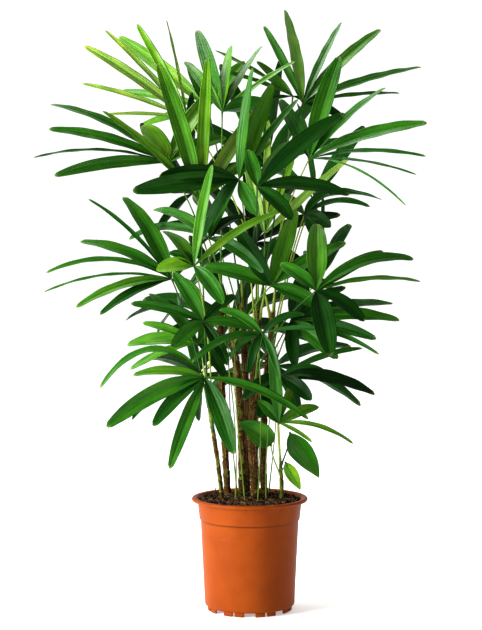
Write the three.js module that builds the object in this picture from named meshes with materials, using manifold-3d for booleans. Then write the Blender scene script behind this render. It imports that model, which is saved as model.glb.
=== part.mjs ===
// Lady palm in a nursery pot: millimetres, +Z up, standing on the pot's feet.
// The pot holds soil, canes rise from the soil, and each frond is one petiole with its fan of blades.
// The plant is drawn about the pot's own axis, and the last lines centre it on its bounding box.

import * as THREE from "three";
import { mergeVertices } from "three/addons/utils/BufferGeometryUtils.js";
import Module from "manifold-3d";

const wasm = await Module();
wasm.setup();

// ---- driving dimensions ----

const GAP = 0.3; // clearance between neighbouring pieces
const SLIVER = 0.05; // faces finer than this are merged after a cut or join

const POT = {
  height: 204,
  lipRadius: 105,
  lipDepth: 6,
  neckRadius: 94, // wall just under the lip
  stepHeight: 165, // the fine line round the pot
  stepRadius: 90.8,
  stepIn: 1.2,
  baseRadius: 81,
  wall: 2.8,
  floor: 3,
  edgeRound: 2.5, // bevels of the lip
  stepEase: 1, // height over which the wall steps in
  sides: 36,
};

const FOOT = { height: 8, radius: 77, thickness: 4, pairs: 8, tab: 18.5, slot: 3.7, sunk: 1, arcSteps: 1 };

const SOIL = { edge: 190, edgeDepth: 1, mound: 10, radius: 92, sides: 24, rings: [0.96, 0.6, 0.25, 0] };

// Canes from the soil up: route points [x, y, z], radius at the foot and at the tip, and how far
// apart its leaves are set from its tip down.
const CANES = {
  left: { foot: 4, tip: 3, apart: 24,
    route: [[-48, -12, 185], [-56, -22, 262], [-68, -40, 345], [-76, -62, 405]] },
  leftBack: { foot: 6, tip: 5, apart: 24,
    route: [[-39, 40, 185], [-45, 46, 290], [-52, 40, 440], [-52, 30, 588]] },
  middleLeft: { foot: 7, tip: 5.5, apart: 24,
    route: [[-14, 14, 185], [-14, 8, 300], [-22, -6, 420], [-34, -14, 520]] },
  middle: { foot: 8, tip: 7, apart: 24, route: [[12, -14, 185], [6, -10, 300], [10, -2, 430], [14, 4, 560]] },
  middleRight: { foot: 6.5, tip: 5, apart: 24,
    route: [[27, 24, 185], [24, 28, 300], [32, 34, 420], [42, 38, 535]] },
  back: { foot: 6, tip: 5, apart: 24, route: [[-6, 62, 185], [-4, 72, 300], [-8, 84, 430], [-14, 90, 560]] },
  young: { foot: 4.2, tip: 3.2, apart: 9, route: [[57, -4, 185], [57, -4, 236], [54, -4, 284]] },
};
const CANE = { sides: 10, steps: 6 };

// Fronds. hub: where the blades meet. lean: how far the fan's plane runs back for each step to the
// right and up. blades: their headings in degrees clockwise from straight up, seen from the side that
// `turn` names (0 is the front, 90 the right, 180 the back), each alone or with its shares of the
// fan's reach as seen, of its width and of its sag.
const FRONDS = [
  { cane: "middle", hub: [94, 0, 909], lean: [0.3, 0.9], reach: 232, width: 28, sag: 0.2,
    blades: [[-25, 0.71, 0.6], [-9, 0.77], [26, 0.74, 0.8], [46, 0.9], [72, 1.02, 0.8], [83, 0.77, 0.4]] },
  { cane: "leftBack", hub: [-49, -20, 894], lean: [-0.3, 0.9], reach: 160, width: 34, sag: 0.2,
    blades: [[-36, 0.75, 0.7], [-17, 1, 1.15], [7, 0.77, 0.8], [30, 1, 0.7], [55, 1, 0.4], [78, 0.5]] },
  { cane: "middle", hub: [104, -60, 811], lean: [-0.4, 0.85], reach: 214, width: 29, sag: 0.4,
    blades: [[-25, 0.5], [17, 0.8, 1.3], [47, 0.86, 0.9], 73, [89, 0.92, 0.5], [99, 0.87, 0.35],
      [118, 0.85, 0.35, 2]] },
  { cane: "left", hub: [-87, -90, 738], lean: [0.3, 0.2], reach: 248, width: 32, sag: 0.35,
    blades: [[-47, 0.94, 0.7], -17, [3, 1, 0.8], [34, 0.98, 1, 1.5], [50, 0.72, 0.6]] },
  { cane: "leftBack", hub: [-145, -60, 804], lean: [0.45, 0.8], reach: 226, width: 29, sag: 0.5,
    blades: [[-97, 0.86, 0.8], [-88, 1, 0.3], [-74, 0.93, 0.8], [-63, 1.02, 0.85], [-33, 0.36, 1.5],
      [31, 0.68], [66, 0.5]] },
  { cane: "middleRight", hub: [-113, 40, 885], lean: [0.3, 0.3], reach: 222, width: 22, sag: 0.25,
    blades: [[-88, 0.66, 0.35], [-72, 0.88, 0.45], [-55, 1], [-43, 0.96, 0.6], [-28, 0.87, 0.8],
      [-12, 0.84, 0.3]] },
  { cane: "back", hub: [-76, 90, 905], lean: [-0.3, 0.4], reach: 216, width: 29, sag: 0.2,
    blades: [[-104, 0.6, 0.6], [-78, 0.76, 0.6], [-51, 1], [-24, 0.44], [38, 0.5]] },
  { cane: "middleRight", hub: [78, 64, 925], lean: [0.4, 0.6], reach: 168, width: 20, sag: 0.2,
    blades: [[-100, 0.6, 0.6], [-70, 0.8, 0.5], [-59, 1, 0.6], [-45, 0.58, 0.8], [112, 0.6]] },
  { cane: "middle", hub: [-19, -64, 774], lean: [-0.3, 0.5], reach: 200, width: 32, sag: 0.35,
    blades: [[-149, 0.6, 1.2], [-96, 1, 1.25, 0.5], [-78, 0.7], [7, 0.9], [19, 0.85], [36, 0.9, 0.6],
      [152, 0.3]] },
  { cane: "middle", hub: [12, -112, 762], lean: [0.4, 0.5], reach: 170, width: 31, sag: 0.45,
    blades: [[-14, 0.4], [36, 0.65], [50, 1, 1.2], [95, 0.96, 0.9], [134, 0.5]] },
  { cane: "middle", hub: [27, 16, 677], lean: [-0.2, 0.2], reach: 208, width: 20, sag: 0.1, young: true,
    blades: [[-14, 0.8], [2, 1, 0.8], [21, 0.7], 48] },
  { cane: "middleRight", hub: [99, 40, 711], lean: [-0.4, 0.7], reach: 130, width: 24, sag: 0.8,
    blades: [[-62, 0.6], [50, 0.6], [82, 0.95, 0.6, 1.6], [116, 0.4, 1.2], [156, 0.5]] },
  { cane: "left", hub: [-138, -44, 599], lean: [0.3, 0.6], reach: 224, width: 27, sag: 0.6,
    blades: [[-116, 0.62, 0.8], [-106, 0.78, 0.8], [-95, 1, 0.25], [-86, 1.03, 0.4, 1.5], [-67, 0.8],
      [-46, 0.92, 0.35], [-31, 0.76, 1.3], [127, 0.3]] },
  { cane: "middleLeft", hub: [-72, -56, 671], lean: [-0.3, 0.7], reach: 190, width: 26, sag: 0.9,
    blades: [[-140, 0.5], [-92, 1, 0.7], [-58, 0.6], [18, 0.6], [62, 0.5], [122, 0.6]] },
  { cane: "left", hub: [-96, -150, 627], lean: [0.2, 0.8], reach: 164, width: 29, sag: 0.6, young: true,
    blades: [[-96, 0.4], [-62, 0.3], [-42, 0.5, 1.2], [10, 0.85, 0.8], [58, 1, 0.6], [142, 0.5]] },
  { cane: "middle", hub: [113, -130, 583], lean: [0.3, 0.8], reach: 196, width: 29, sag: 0.5,
    blades: [[-52, 0.4], [3, 0.58, 1.4], [62, 0.72, 0.8], [73, 0.97, 0.85, 2], [86, 0.95, 0.5],
      [122, 0.5], [168, 0.56, 1.35]] },
  { cane: "middleLeft", hub: [37, -66, 588], lean: [-0.2, 0.5], reach: 150, width: 34, sag: 0.3,
    blades: [[-74, 0.8], [-30, 0.7], [18, 0.9], 60, [112, 0.6]] },
  { cane: "middleRight", hub: [76, 56, 519], lean: [-0.3, 0.6], reach: 194, width: 33, sag: 0.3,
    blades: [[16, 0.5], [58, 0.6], [80, 0.97], [89, 1, 1.1], [101, 0.8, 0.8], [128, 0.55], [176, 0.42]] },
  { cane: "middleLeft", hub: [-81, -130, 530], lean: [0.3, 0.6], reach: 140, width: 26, sag: 0.5,
    blades: [[-128, 0.5], [-75, 0.92, 0.7], [-30, 0.7], [52, 0.5, 0.8], [100, 0.6], [150, 0.6]] },
  { cane: "middle", hub: [21, -134, 509], lean: [-0.3, 0.3], reach: 207, width: 16, sag: 1.2,
    blades: [[-112, 0.68], [-132, 0.36], [-164, 0.36], [-58, 0.4], [62, 0.4], [99, 1, 0.6], [160, 0.4]] },
  { cane: "leftBack", hub: [-93, -40, 484], lean: [0.3, 0.8], reach: 146, width: 28, sag: 0.5,
    blades: [[-112, 0.8, 0.6], [-92, 0.84, 1.1], [-70, 0.76, 0.6], [-45, 0.84], [30, 0.5], [142, 0.5]] },
  { cane: "left", hub: [-78, -158, 436], lean: [0.2, 0.35], reach: 206, width: 36, sag: 0.6,
    blades: [[-98, 1.06, 0.35, 4], [-87, 0.6, 0.6], [-116, 0.88], [-133, 0.58, 0.8], [-159, 0.78, 0.65],
      [159, 0.66, 1], [113, 0.96, 0.5]] },
  { cane: "middleRight", hub: [56, -16, 423], lean: [-0.3, 0.7], reach: 166, width: 31, sag: 0.6,
    blades: [[-150, 0.5], [-118, 0.6], [70, 0.92, 0.5], [86, 0.5], [99, 1], [126, 0.4]] },
  { cane: "young", hub: [51, -60, 345], lean: [0.2, 0.4], reach: 140, width: 23, sag: 0.5, young: true,
    blades: [[-42, 0.4], [-5, 0.98, 1.1], [24, 0.98, 0.7], [70, 0.56], [107, 1, 0.4, 1.6], [120, 0.5, 0.4]] },
  // the sides and the back
  { turn: 180, cane: "back", hub: [30, 140, 800], lean: [0.2, 0.5], reach: 180, width: 28, sag: 0.4,
    blades: [-74, -38, -8, 24, 62, [104, 0.8]] },
  { turn: 230, cane: "back", hub: [-104, 124, 748], lean: [0.2, 0.7], reach: 180, width: 28, sag: 0.5,
    blades: [[-112, 0.8], -66, -22, [16, 0.9], 52, [88, 0.8], [140, 0.5]] },
  { turn: 130, cane: "middleRight", hub: [118, 116, 738], lean: [-0.2, 0.7], reach: 180, width: 28, sag: 0.5,
    blades: [[-90, 0.8], -50, [-12, 0.9], 26, 66, [128, 0.6]] },
  { turn: 180, cane: "back", hub: [8, 196, 654], lean: [0.2, 0.6], reach: 186, width: 29, sag: 0.6,
    blades: [[-118, 0.7], -72, [-34, 0.9], 4, 42, 80, [124, 0.7]] },
  { turn: 262, cane: "leftBack", hub: [-128, 84, 540], lean: [0.2, 0.7], reach: 160, width: 27, sag: 0.6,
    blades: [[-126, 0.6], -78, [-32, 0.8], [12, 0.8], [58, 0.8], [98, 0.9]] },
  { turn: 98, cane: "middleRight", hub: [124, 84, 590], lean: [-0.2, 0.7], reach: 160, width: 27, sag: 0.6,
    blades: [[-94, 0.9], -54, [-14, 0.8], [26, 0.8], 74, [126, 0.6]] },
  { turn: 190, cane: "back", hub: [-34, 196, 500], lean: [0, 0.4], reach: 180, width: 28, sag: 0.8,
    blades: [[-150, 0.6], -104, [-68, 0.9], -26, 20, 64, [102, 0.9], [150, 0.6]] },
  { turn: 165, cane: "back", hub: [48, 168, 424], lean: [0, 0.4], reach: 176, width: 28, sag: 0.8,
    blades: [[-158, 0.6], -116, [-74, 0.9], [30, 0.6], 76, [114, 0.9], [160, 0.6]] },
  { turn: 225, cane: "leftBack", hub: [-92, 124, 410], lean: [0, 0.4], reach: 166, width: 26, sag: 0.8,
    blades: [[-160, 0.6], -112, [-66, 0.7], [24, 0.7], 74, 118] },
];

const PETIOLE = {
  radius: 2.2,
  narrows: 0.85, // share of the radius left at the hub
  first: 12, // below the tip of the cane, for the topmost leaf
  rooted: 0.3, // share of its length along which it may lie against its own cane
  climb: 0.62, // share of its rise gone at the bend
  stray: 0.22, // share of its way out gone there
  lift: 14, // how far the bend stands off
  slides: [0, 8, 16, 24, 32, 40, 48, 56], // further starts down the cane, tried in turn
  swings: [0, 0.4, -0.4, 0.8, -0.8, 1.2, -1.2, 1.6, -1.6, 2, -2, 2.4, -2.4, Math.PI], // and round it
  sides: 5,
  steps: 5,
};
const HUB = 4.5; // radius of the knot where the blades meet
const BLADE = {
  thickness: 0.0125, // of its length
  fold: 0.3, // rise of each edge over the rib, of the half width
  stations: { stiff: [0, 0.34, 0.8, 1], arching: [0, 0.25, 0.5, 0.8, 1] },
  archingFrom: 0.55, // sag
  hubWidth: 1.6, // where it joins the hub
  fullAt: 0.55, // share of its length where it is widest
  swell: 1.6, // how late it widens
  tipShare: 0.3, // width at the blunt tip, of the full width
  tipRound: 2.4, // how late it narrows
};
// How much one blade differs from the next, as shares of its own size and as radians of turn.
const VARIED = { length: 0.02, width: 0.1, sag: 0.2, roll: 0.3, twist: 0.5, seedStep: 1009 };

// A blade is tried at its own heading first, then turned and leant a little until it is clear.
const TURNS = [0, 5, -5, 10, -10];
const LEANS = [0, 0.25, -0.25, 0.5, -0.5, 0.75, -0.75];
// Room round a blade, and the spots along and across it where that room is tested. Near its own hub
// it may come closer.
const CLEAR = { blade: 7.5, along: 24, across: 5, root: 0.15, rootEase: 3.5, hub: 5, petiole: 0.05 };
const CLEAR_SPOTS = { petiole: 160, cane: 160 };

// Undivided leaves of the young shoot, as fronds of one broad blade.
const YOUNG_LEAVES = [
  { cane: "young", hub: [72, -14, 322], lean: [0, -0.5], reach: 106, width: 46, sag: 0.4, young: true,
    blades: [149] },
  { cane: "young", hub: [64, -12, 268], lean: [0, -0.05], reach: 58, width: 24, sag: 0.4, young: true,
    blades: [152] },
  { cane: "young", hub: [38, -14, 300], lean: [0, -0.3], reach: 80, width: 38, sag: 0.6, young: true,
    blades: [-52] },
];

// ---- numbers and vectors ----

const vec = (x, y, z) => new THREE.Vector3(x, y, z);
const radians = THREE.MathUtils.degToRad;
const UP = vec(0, 0, 1);

const MINSTD = { factor: 16807, modulus: 2147483647 };

/** A repeatable source of numbers between -1 and 1. */
function jitterFrom(start) {
  let seed = start;
  return () => {
    seed = (seed * MINSTD.factor) % MINSTD.modulus;
    return (seed / MINSTD.modulus) * 2 - 1;
  };
}

// ---- solids ----

/** A closed geometry as a solid, its shared points merged. */
function solid(geometry) {
  const bare = geometry.index ? geometry.toNonIndexed() : geometry.clone();
  bare.deleteAttribute("normal");
  bare.deleteAttribute("uv");
  const merged = mergeVertices(bare, 1e-4);
  return new wasm.Manifold(
    new wasm.Mesh({
      numProp: 3,
      vertProperties: new Float32Array(merged.attributes.position.array),
      triVerts: new Uint32Array(merged.index.array),
    }),
  );
}

/** The largest body of a solid as a geometry: scraps are dropped. */
function geometryOf(shape) {
  const bodies = shape.simplify(SLIVER).decompose();
  const body = bodies.reduce((best, next) => (next.volume() > best.volume() ? next : best));
  const mesh = body.getMesh();
  const geometry = new THREE.BufferGeometry();
  geometry.setAttribute("position", new THREE.BufferAttribute(new Float32Array(mesh.vertProperties), 3));
  geometry.setIndex(new THREE.BufferAttribute(new Uint32Array(mesh.triVerts), 1));
  geometry.computeVertexNormals();
  return geometry;
}

/** Turns a [radius, height] profile, closed or ending on the axis, round the Z axis. */
function turned(profile, sides) {
  const points = profile.map(([r, z]) => new THREE.Vector2(r, z));
  return new THREE.LatheGeometry(points, sides).rotateX(Math.PI / 2);
}

/** A round bar along a curve, narrowing evenly from one radius to the other. */
function taperedBar(curve, startRadius, endRadius, sides, steps) {
  const outline = new THREE.Shape();
  for (let i = 0; i < sides; i++) {
    const angle = (i / sides) * 2 * Math.PI;
    outline[i ? "lineTo" : "moveTo"](Math.cos(angle) * startRadius, Math.sin(angle) * startRadius);
  }
  outline.closePath();
  const bar = new THREE.ExtrudeGeometry(outline, { steps, extrudePath: curve, bevelEnabled: false });
  const centres = curve.getSpacedPoints(steps);
  const places = bar.attributes.position;
  const point = new THREE.Vector3();
  for (let i = 0; i < places.count; i++) {
    point.fromBufferAttribute(places, i);
    const distances = centres.map((centre) => centre.distanceTo(point));
    const nearest = distances.indexOf(Math.min(...distances));
    const size = THREE.MathUtils.lerp(1, endRadius / startRadius, nearest / steps);
    point.sub(centres[nearest]).multiplyScalar(size).add(centres[nearest]);
    places.setXYZ(i, point.x, point.y, point.z);
  }
  return bar;
}

/**
 * Skins a row of rings, each with the same number of points, and closes both ends. The upper half of
 * a ring and the lower are split along mirrored diagonals, so both walls of a twisted blade bend alike.
 */
function lofted(rings) {
  const size = rings[0].length;
  const places = rings.flat().flatMap((point) => [point.x, point.y, point.z]);
  const faces = [];
  for (let row = 0; row + 1 < rings.length; row++) {
    for (let i = 0; i < size; i++) {
      const [a, b] = [row * size + i, row * size + ((i + 1) % size)];
      if (i < size / 2) faces.push(a, b, b + size, a, b + size, a + size);
      else faces.push(a, b, a + size, b, b + size, a + size);
    }
  }
  const last = (rings.length - 1) * size;
  for (let i = 1; i + 1 < size; i++) {
    faces.push(0, i + 1, i, last, last + i, last + i + 1);
  }
  const geometry = new THREE.BufferGeometry();
  geometry.setAttribute("position", new THREE.Float32BufferAttribute(places, 3));
  geometry.setIndex(faces);
  return geometry;
}

// ---- pot and soil ----

function potSolid() {
  const p = POT;
  const lipUnder = p.height - p.lipDepth;
  const outside = [
    [0, FOOT.height],
    [p.baseRadius, FOOT.height],
    [p.stepRadius - p.stepIn, p.stepHeight - p.stepEase],
    [p.stepRadius, p.stepHeight],
    [p.neckRadius, lipUnder],
    [p.lipRadius - p.edgeRound / 2, lipUnder],
    [p.lipRadius, lipUnder + p.edgeRound],
    [p.lipRadius - p.edgeRound, p.height],
  ];
  const inside = [
    [p.neckRadius + p.edgeRound / 2, p.height],
    [p.neckRadius - p.wall, lipUnder],
    [p.stepRadius - p.wall, p.stepHeight],
    [p.baseRadius - p.wall, FOOT.height + p.floor],
    [0, FOOT.height + p.floor],
  ];
  let pot = solid(turned([...outside, ...inside], p.sides));
  for (const tab of footTabs()) pot = pot.add(tab);
  return pot;
}

/** The foot is a ring cut into pairs of tabs, with a narrow slot inside each pair. */
function footTabs() {
  const tabAngle = FOOT.tab / FOOT.radius;
  const slotAngle = FOOT.slot / FOOT.radius;
  const tabs = [];
  for (let pair = 0; pair < FOOT.pairs; pair++) {
    const middle = ((pair + 0.5) / FOOT.pairs) * 2 * Math.PI;
    for (const side of [-1, 1]) {
      const centre = middle + (side * (tabAngle + slotAngle)) / 2;
      const outline = new THREE.Shape();
      outline.absarc(0, 0, FOOT.radius, centre - tabAngle / 2, centre + tabAngle / 2, false);
      outline.absarc(0, 0, FOOT.radius - FOOT.thickness, centre + tabAngle / 2, centre - tabAngle / 2, true);
      outline.closePath();
      const settings = { depth: FOOT.height + FOOT.sunk, curveSegments: FOOT.arcSteps, bevelEnabled: false };
      tabs.push(solid(new THREE.ExtrudeGeometry(outline, settings)));
    }
  }
  return tabs;
}

/** Height of the soil at a distance from the pot's axis: a low mound. */
const soilHeight = (radius) => SOIL.edge + SOIL.mound * (1 - (radius / SOIL.radius) ** 2);

function soilSolid(raised = 0) {
  const p = POT;
  const bottom = FOOT.height + p.floor + GAP;
  // the pot's wall is flat between its corners, so the soil stays inside those flats
  const within = (radius) => (radius - p.wall) * Math.cos(Math.PI / p.sides) - GAP;
  const upTheNeck = (SOIL.edge - p.stepHeight) / (p.height - p.lipDepth - p.stepHeight);
  const edge = within(THREE.MathUtils.lerp(p.stepRadius, p.neckRadius, upTheNeck));
  const top = SOIL.rings.map((share) => [edge * share, soilHeight(edge * share) + raised]);
  const profile = [
    [0, bottom],
    [within(p.baseRadius), bottom],
    [within(p.stepRadius), p.stepHeight],
    [edge, SOIL.edge - SOIL.edgeDepth + raised],
    ...top,
  ];
  return solid(turned(profile, SOIL.sides));
}

// ---- canes ----

const caneCurves = Object.fromEntries(
  Object.entries(CANES).map(([name, cane]) => [
    name,
    new THREE.CatmullRomCurve3(cane.route.map((point) => vec(...point))),
  ]),
);

function caneSolid(name, grown = 0) {
  const { foot, tip } = CANES[name];
  return solid(taperedBar(caneCurves[name], foot + grown, tip + grown, CANE.sides, CANE.steps));
}

// ---- what is already placed, as balls on a grid of cells ----

const CELL = 12;
const placed = new Map();
const cellOf = (value) => Math.floor(value / CELL);

function keep(balls, owner) {
  for (const ball of balls) {
    const key = [ball.x, ball.y, ball.z].map(cellOf).join();
    if (!placed.has(key)) placed.set(key, []);
    placed.get(key).push({ ...ball, owner });
  }
}

/** Whether every ball clears the kept balls of all but the named owners by the given room. */
function isClear(balls, room, ...mine) {
  for (const { x, y, z, r } of balls) {
    const [cx, cy, cz] = [x, y, z].map(cellOf);
    for (let i = cx - 2; i <= cx + 2; i++) {
      for (let j = cy - 2; j <= cy + 2; j++) {
        for (let k = cz - 2; k <= cz + 2; k++) {
          for (const other of placed.get([i, j, k].join()) ?? []) {
            if (mine.includes(other.owner)) continue;
            if (Math.hypot(x - other.x, y - other.y, z - other.z) < r + other.r + room) return false;
          }
        }
      }
    }
  }
  return true;
}

/** Balls along a bar that narrows evenly from one radius to the other. */
const ballsAlong = (curve, startRadius, endRadius, count) =>
  curve.getSpacedPoints(count).map(({ x, y, z }, i) => ({
    x, y, z, r: THREE.MathUtils.lerp(startRadius, endRadius, i / count),
  }));

// ---- fronds ----

/** The petiole grows out of its cane's side, climbs steeply and leans out to the hub. */
function petioleCurve(caneName, hub, drop, swing) {
  const { foot, tip } = CANES[caneName];
  const curve = caneCurves[caneName];
  const share = 1 - drop / curve.getLength();
  const axis = curve.getPointAt(share);
  const radius = THREE.MathUtils.lerp(foot, tip, share);
  const bearing = Math.atan2(hub.y - axis.y, hub.x - axis.x) + swing;
  const outward = vec(Math.cos(bearing), Math.sin(bearing), 0);
  const start = axis.clone().addScaledVector(outward, Math.max(radius + GAP - PETIOLE.radius, 0));
  const run = hub.clone().sub(start);
  const knee = start.clone().add(vec(run.x * PETIOLE.stray, run.y * PETIOLE.stray, run.z * PETIOLE.climb));
  knee.addScaledVector(outward, PETIOLE.lift);
  return new THREE.QuadraticBezierCurve3(start, knee, hub);
}

/** Tries the petiole at several places round its cane, and keeps the first that is clear. */
function placePetiole(caneName, hub, drop, owner) {
  for (const slide of PETIOLE.slides) {
    for (const swing of PETIOLE.swings) {
      const curve = petioleCurve(caneName, hub, drop + slide, swing);
      const balls = ballsAlong(curve, PETIOLE.radius, PETIOLE.radius, CLEAR_SPOTS.petiole);
      const root = balls.splice(0, PETIOLE.rooted * balls.length);
      const { petiole } = CLEAR;
      if (isClear(root, petiole, owner, caneName) && isClear(balls, petiole, owner)) {
        keep(root, owner);
        keep(balls, owner);
        return curve;
      }
    }
  }
  throw new Error(`no clear way from ${caneName} to ${owner}`);
}

/**
 * The middle line of a blade: its heading, tipped up at the root and down at the tip by the same sag,
 * so that the tip still lies near the heading. Each row is a point with its across and upper sides.
 */
function bladeRows(hub, heading, normal, shape, count) {
  const rows = [];
  const point = hub.clone();
  const step = shape.length / count;
  for (let i = 0; i <= count; i++) {
    const share = i / count;
    const along = heading.clone().addScaledVector(UP, shape.sag * (0.5 - share)).normalize();
    const across = along.clone().cross(normal).normalize();
    const upper = across.clone().cross(along);
    const turn = shape.roll + shape.twist * share;
    const side = across.clone().multiplyScalar(Math.cos(turn)).addScaledVector(upper, Math.sin(turn));
    rows.push({ point: point.clone(), side, face: side.clone().cross(along) });
    const middle = heading.clone().addScaledVector(UP, shape.sag * (0.5 - share - 0.5 / count)).normalize();
    point.addScaledVector(middle, step);
  }
  return rows;
}

/** Width of a blade at a share of its length: narrow at the hub, full past the middle, blunt tip. */
function bladeWidth(share, width) {
  const { fullAt, hubWidth, tipShare } = BLADE;
  const swell = Math.sin(Math.min(share / fullAt, 1) * (Math.PI / 2)) ** BLADE.swell;
  const past = Math.max(share - fullAt, 0) / (1 - fullAt);
  const fall = 1 - (1 - tipShare) * past ** BLADE.tipRound;
  return hubWidth + (width - hubWidth) * swell * fall;
}

const bladeAt = (rows, share) => rows[Math.round(share * (rows.length - 1))];

/** A blade as a folded section carried along its middle line. */
function bladeSolid(rows, shape) {
  const half = (shape.length * BLADE.thickness) / 2;
  const stations = shape.sag > BLADE.archingFrom ? BLADE.stations.arching : BLADE.stations.stiff;
  const rings = stations.map((share) => {
    const { point, side, face } = bladeAt(rows, share);
    const reach = bladeWidth(share, shape.width) / 2;
    const edge = (sign) =>
      point.clone().addScaledVector(side, sign * reach).addScaledVector(face, reach * BLADE.fold);
    const rib = (sign) => point.clone().addScaledVector(face, sign * (share ? half : half / 2));
    return [edge(-1), rib(1), edge(1), rib(-1)];
  });
  return solid(lofted(rings));
}

/** Balls spread over a blade, leaving out the part near its own hub. */
function bladeBalls(rows, shape) {
  const balls = [];
  rows.forEach(({ point, side, face }, i) => {
    const share = i / (rows.length - 1);
    const reach = bladeWidth(share, shape.width) / 2;
    const r = share < CLEAR.root ? -CLEAR.rootEase : 0;
    for (let j = 0; j < CLEAR.across; j++) {
      const place = (j / (CLEAR.across - 1)) * 2 - 1;
      const spot = point.clone().addScaledVector(side, place * reach);
      spot.addScaledVector(face, Math.abs(place) * reach * BLADE.fold);
      balls.push({ x: spot.x, y: spot.y, z: spot.z, r });
    }
  });
  return balls;
}

/** Turns and leans one blade until it clears all that is placed, or returns null. */
function placeBlade(record, hub, heading, shape, owner) {
  const view = radians(record.turn ?? 0);
  for (const turn of TURNS) {
    for (const lean of LEANS) {
      const angle = radians(heading + turn);
      const [right, up] = [Math.sin(angle), Math.cos(angle)];
      const back = record.lean[0] * right + record.lean[1] * up + lean;
      const aim = vec(right, back, up).normalize().applyAxisAngle(UP, view);
      const normal = vec(record.lean[0], -1, record.lean[1]).normalize().applyAxisAngle(UP, view);
      const rows = bladeRows(hub, aim, normal, shape, CLEAR.along);
      const balls = bladeBalls(rows, shape);
      if (isClear(balls, CLEAR.blade, owner)) {
        keep(balls, owner);
        return rows;
      }
    }
  }
  return null;
}

/** The size and bend of one blade, from its frond's record, its own shares and a little chance. */
function bladeShape(record, [heading, share = 1, wide = 1, slack = 1], jitter) {
  const angle = radians(heading);
  const back = record.lean[0] * Math.sin(angle) + record.lean[1] * Math.cos(angle);
  return {
    length: record.reach * share * Math.hypot(1, back) * (1 + VARIED.length * jitter()),
    width: record.width * wide * (1 + VARIED.width * jitter()),
    sag: record.sag * slack * (1 + VARIED.sag * jitter()),
    roll: VARIED.roll * jitter(),
    twist: VARIED.twist * jitter(),
  };
}

/** A leaf is its petiole, cut clear of its cane, the knot at the hub and every blade that finds room. */
function leafSolid({ record, name, hub, petiole }, jitter) {
  const { radius, narrows, sides, steps } = PETIOLE;
  const bar = solid(taperedBar(petiole, radius, radius * narrows, sides, steps));
  let leaf = bar.subtract(caneSolid(record.cane, GAP));
  leaf = leaf.add(solid(new THREE.IcosahedronGeometry(HUB).translate(hub.x, hub.y, hub.z)));
  for (const entry of record.blades) {
    const blade = [entry].flat();
    const shape = bladeShape(record, blade, jitter);
    const rows = placeBlade(record, hub, blade[0], shape, name);
    if (rows) leaf = leaf.add(bladeSolid(rows, shape));
  }
  return leaf;
}

// ---- the plant ----

const materials = {
  pot: { color: "#c9622a", roughness: 0.45, metalness: 0 },
  soil: { color: "#3a281c", roughness: 0.95, metalness: 0 },
  cane: { color: "#6b4a2e", roughness: 0.8, metalness: 0 },
  leaf: { color: "#2f7d1f", roughness: 0.45, metalness: 0 },
  youngLeaf: { color: "#6fae30", roughness: 0.45, metalness: 0 },
};

const palm = new THREE.Group();

function addPiece(name, shape, finish, place = vec(0, 0, 0)) {
  const geometry = geometryOf(shape).translate(-place.x, -place.y, -place.z);
  const mesh = new THREE.Mesh(geometry, new THREE.MeshStandardMaterial(materials[finish]));
  mesh.name = name;
  mesh.position.copy(place);
  palm.add(mesh);
}

addPiece("pot", potSolid(), "pot");
addPiece("soil", soilSolid(), "soil");

const ground = soilSolid(GAP);
for (const [name, curve] of Object.entries(caneCurves)) {
  addPiece(`cane_${name}`, caneSolid(name).subtract(ground), "cane");
  keep(ballsAlong(curve, CANES[name].foot, CANES[name].tip, CLEAR_SPOTS.cane), name);
}

// Hubs are kept free first, then every petiole is placed, and blades give way to both.
const leaves = [
  ...FRONDS.map((record, i) => ({ record, name: `frond_${String(i + 1).padStart(2, "0")}` })),
  ...YOUNG_LEAVES.map((record, i) => ({ record, name: `young_leaf_${i + 1}` })),
];
for (const leaf of leaves) {
  leaf.hub = vec(...leaf.record.hub);
  keep([{ x: leaf.hub.x, y: leaf.hub.y, z: leaf.hub.z, r: CLEAR.hub }], leaf.name);
}
const leavesOn = {};
for (const leaf of leaves) {
  const { cane } = leaf.record;
  leavesOn[cane] = (leavesOn[cane] ?? 0) + 1;
  const drop = PETIOLE.first + CANES[cane].apart * (leavesOn[cane] - 1);
  leaf.petiole = placePetiole(cane, leaf.hub, drop, leaf.name);
}
leaves.forEach((leaf, i) => {
  const finish = leaf.record.young ? "youngLeaf" : "leaf";
  addPiece(leaf.name, leafSolid(leaf, jitterFrom(VARIED.seedStep * (i + 1))), finish, leaf.hub);
});

// The origin is the middle of the bounding box, on the surface that the feet stand on.
palm.updateMatrixWorld(true);
const middle = new THREE.Box3().setFromObject(palm).getCenter(new THREE.Vector3());
palm.position.set(-middle.x, -middle.y, 0);

export default palm;
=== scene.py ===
import math
import bpy
import numpy as np
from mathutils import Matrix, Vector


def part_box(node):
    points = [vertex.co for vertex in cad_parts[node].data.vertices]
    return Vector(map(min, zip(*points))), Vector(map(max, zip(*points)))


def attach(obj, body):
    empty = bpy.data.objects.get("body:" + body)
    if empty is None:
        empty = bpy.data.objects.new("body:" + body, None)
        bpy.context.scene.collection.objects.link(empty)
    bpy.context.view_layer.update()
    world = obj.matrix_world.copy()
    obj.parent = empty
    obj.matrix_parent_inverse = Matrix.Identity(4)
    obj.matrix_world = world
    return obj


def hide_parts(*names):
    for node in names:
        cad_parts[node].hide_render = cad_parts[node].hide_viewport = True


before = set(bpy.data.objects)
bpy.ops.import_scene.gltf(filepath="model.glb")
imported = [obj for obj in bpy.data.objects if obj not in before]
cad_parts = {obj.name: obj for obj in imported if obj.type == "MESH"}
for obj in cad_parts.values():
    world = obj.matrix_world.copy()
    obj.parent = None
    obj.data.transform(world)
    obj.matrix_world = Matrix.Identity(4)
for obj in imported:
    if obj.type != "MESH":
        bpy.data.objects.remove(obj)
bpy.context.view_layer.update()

print("frame loaded,", len(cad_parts), "nodes")

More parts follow.
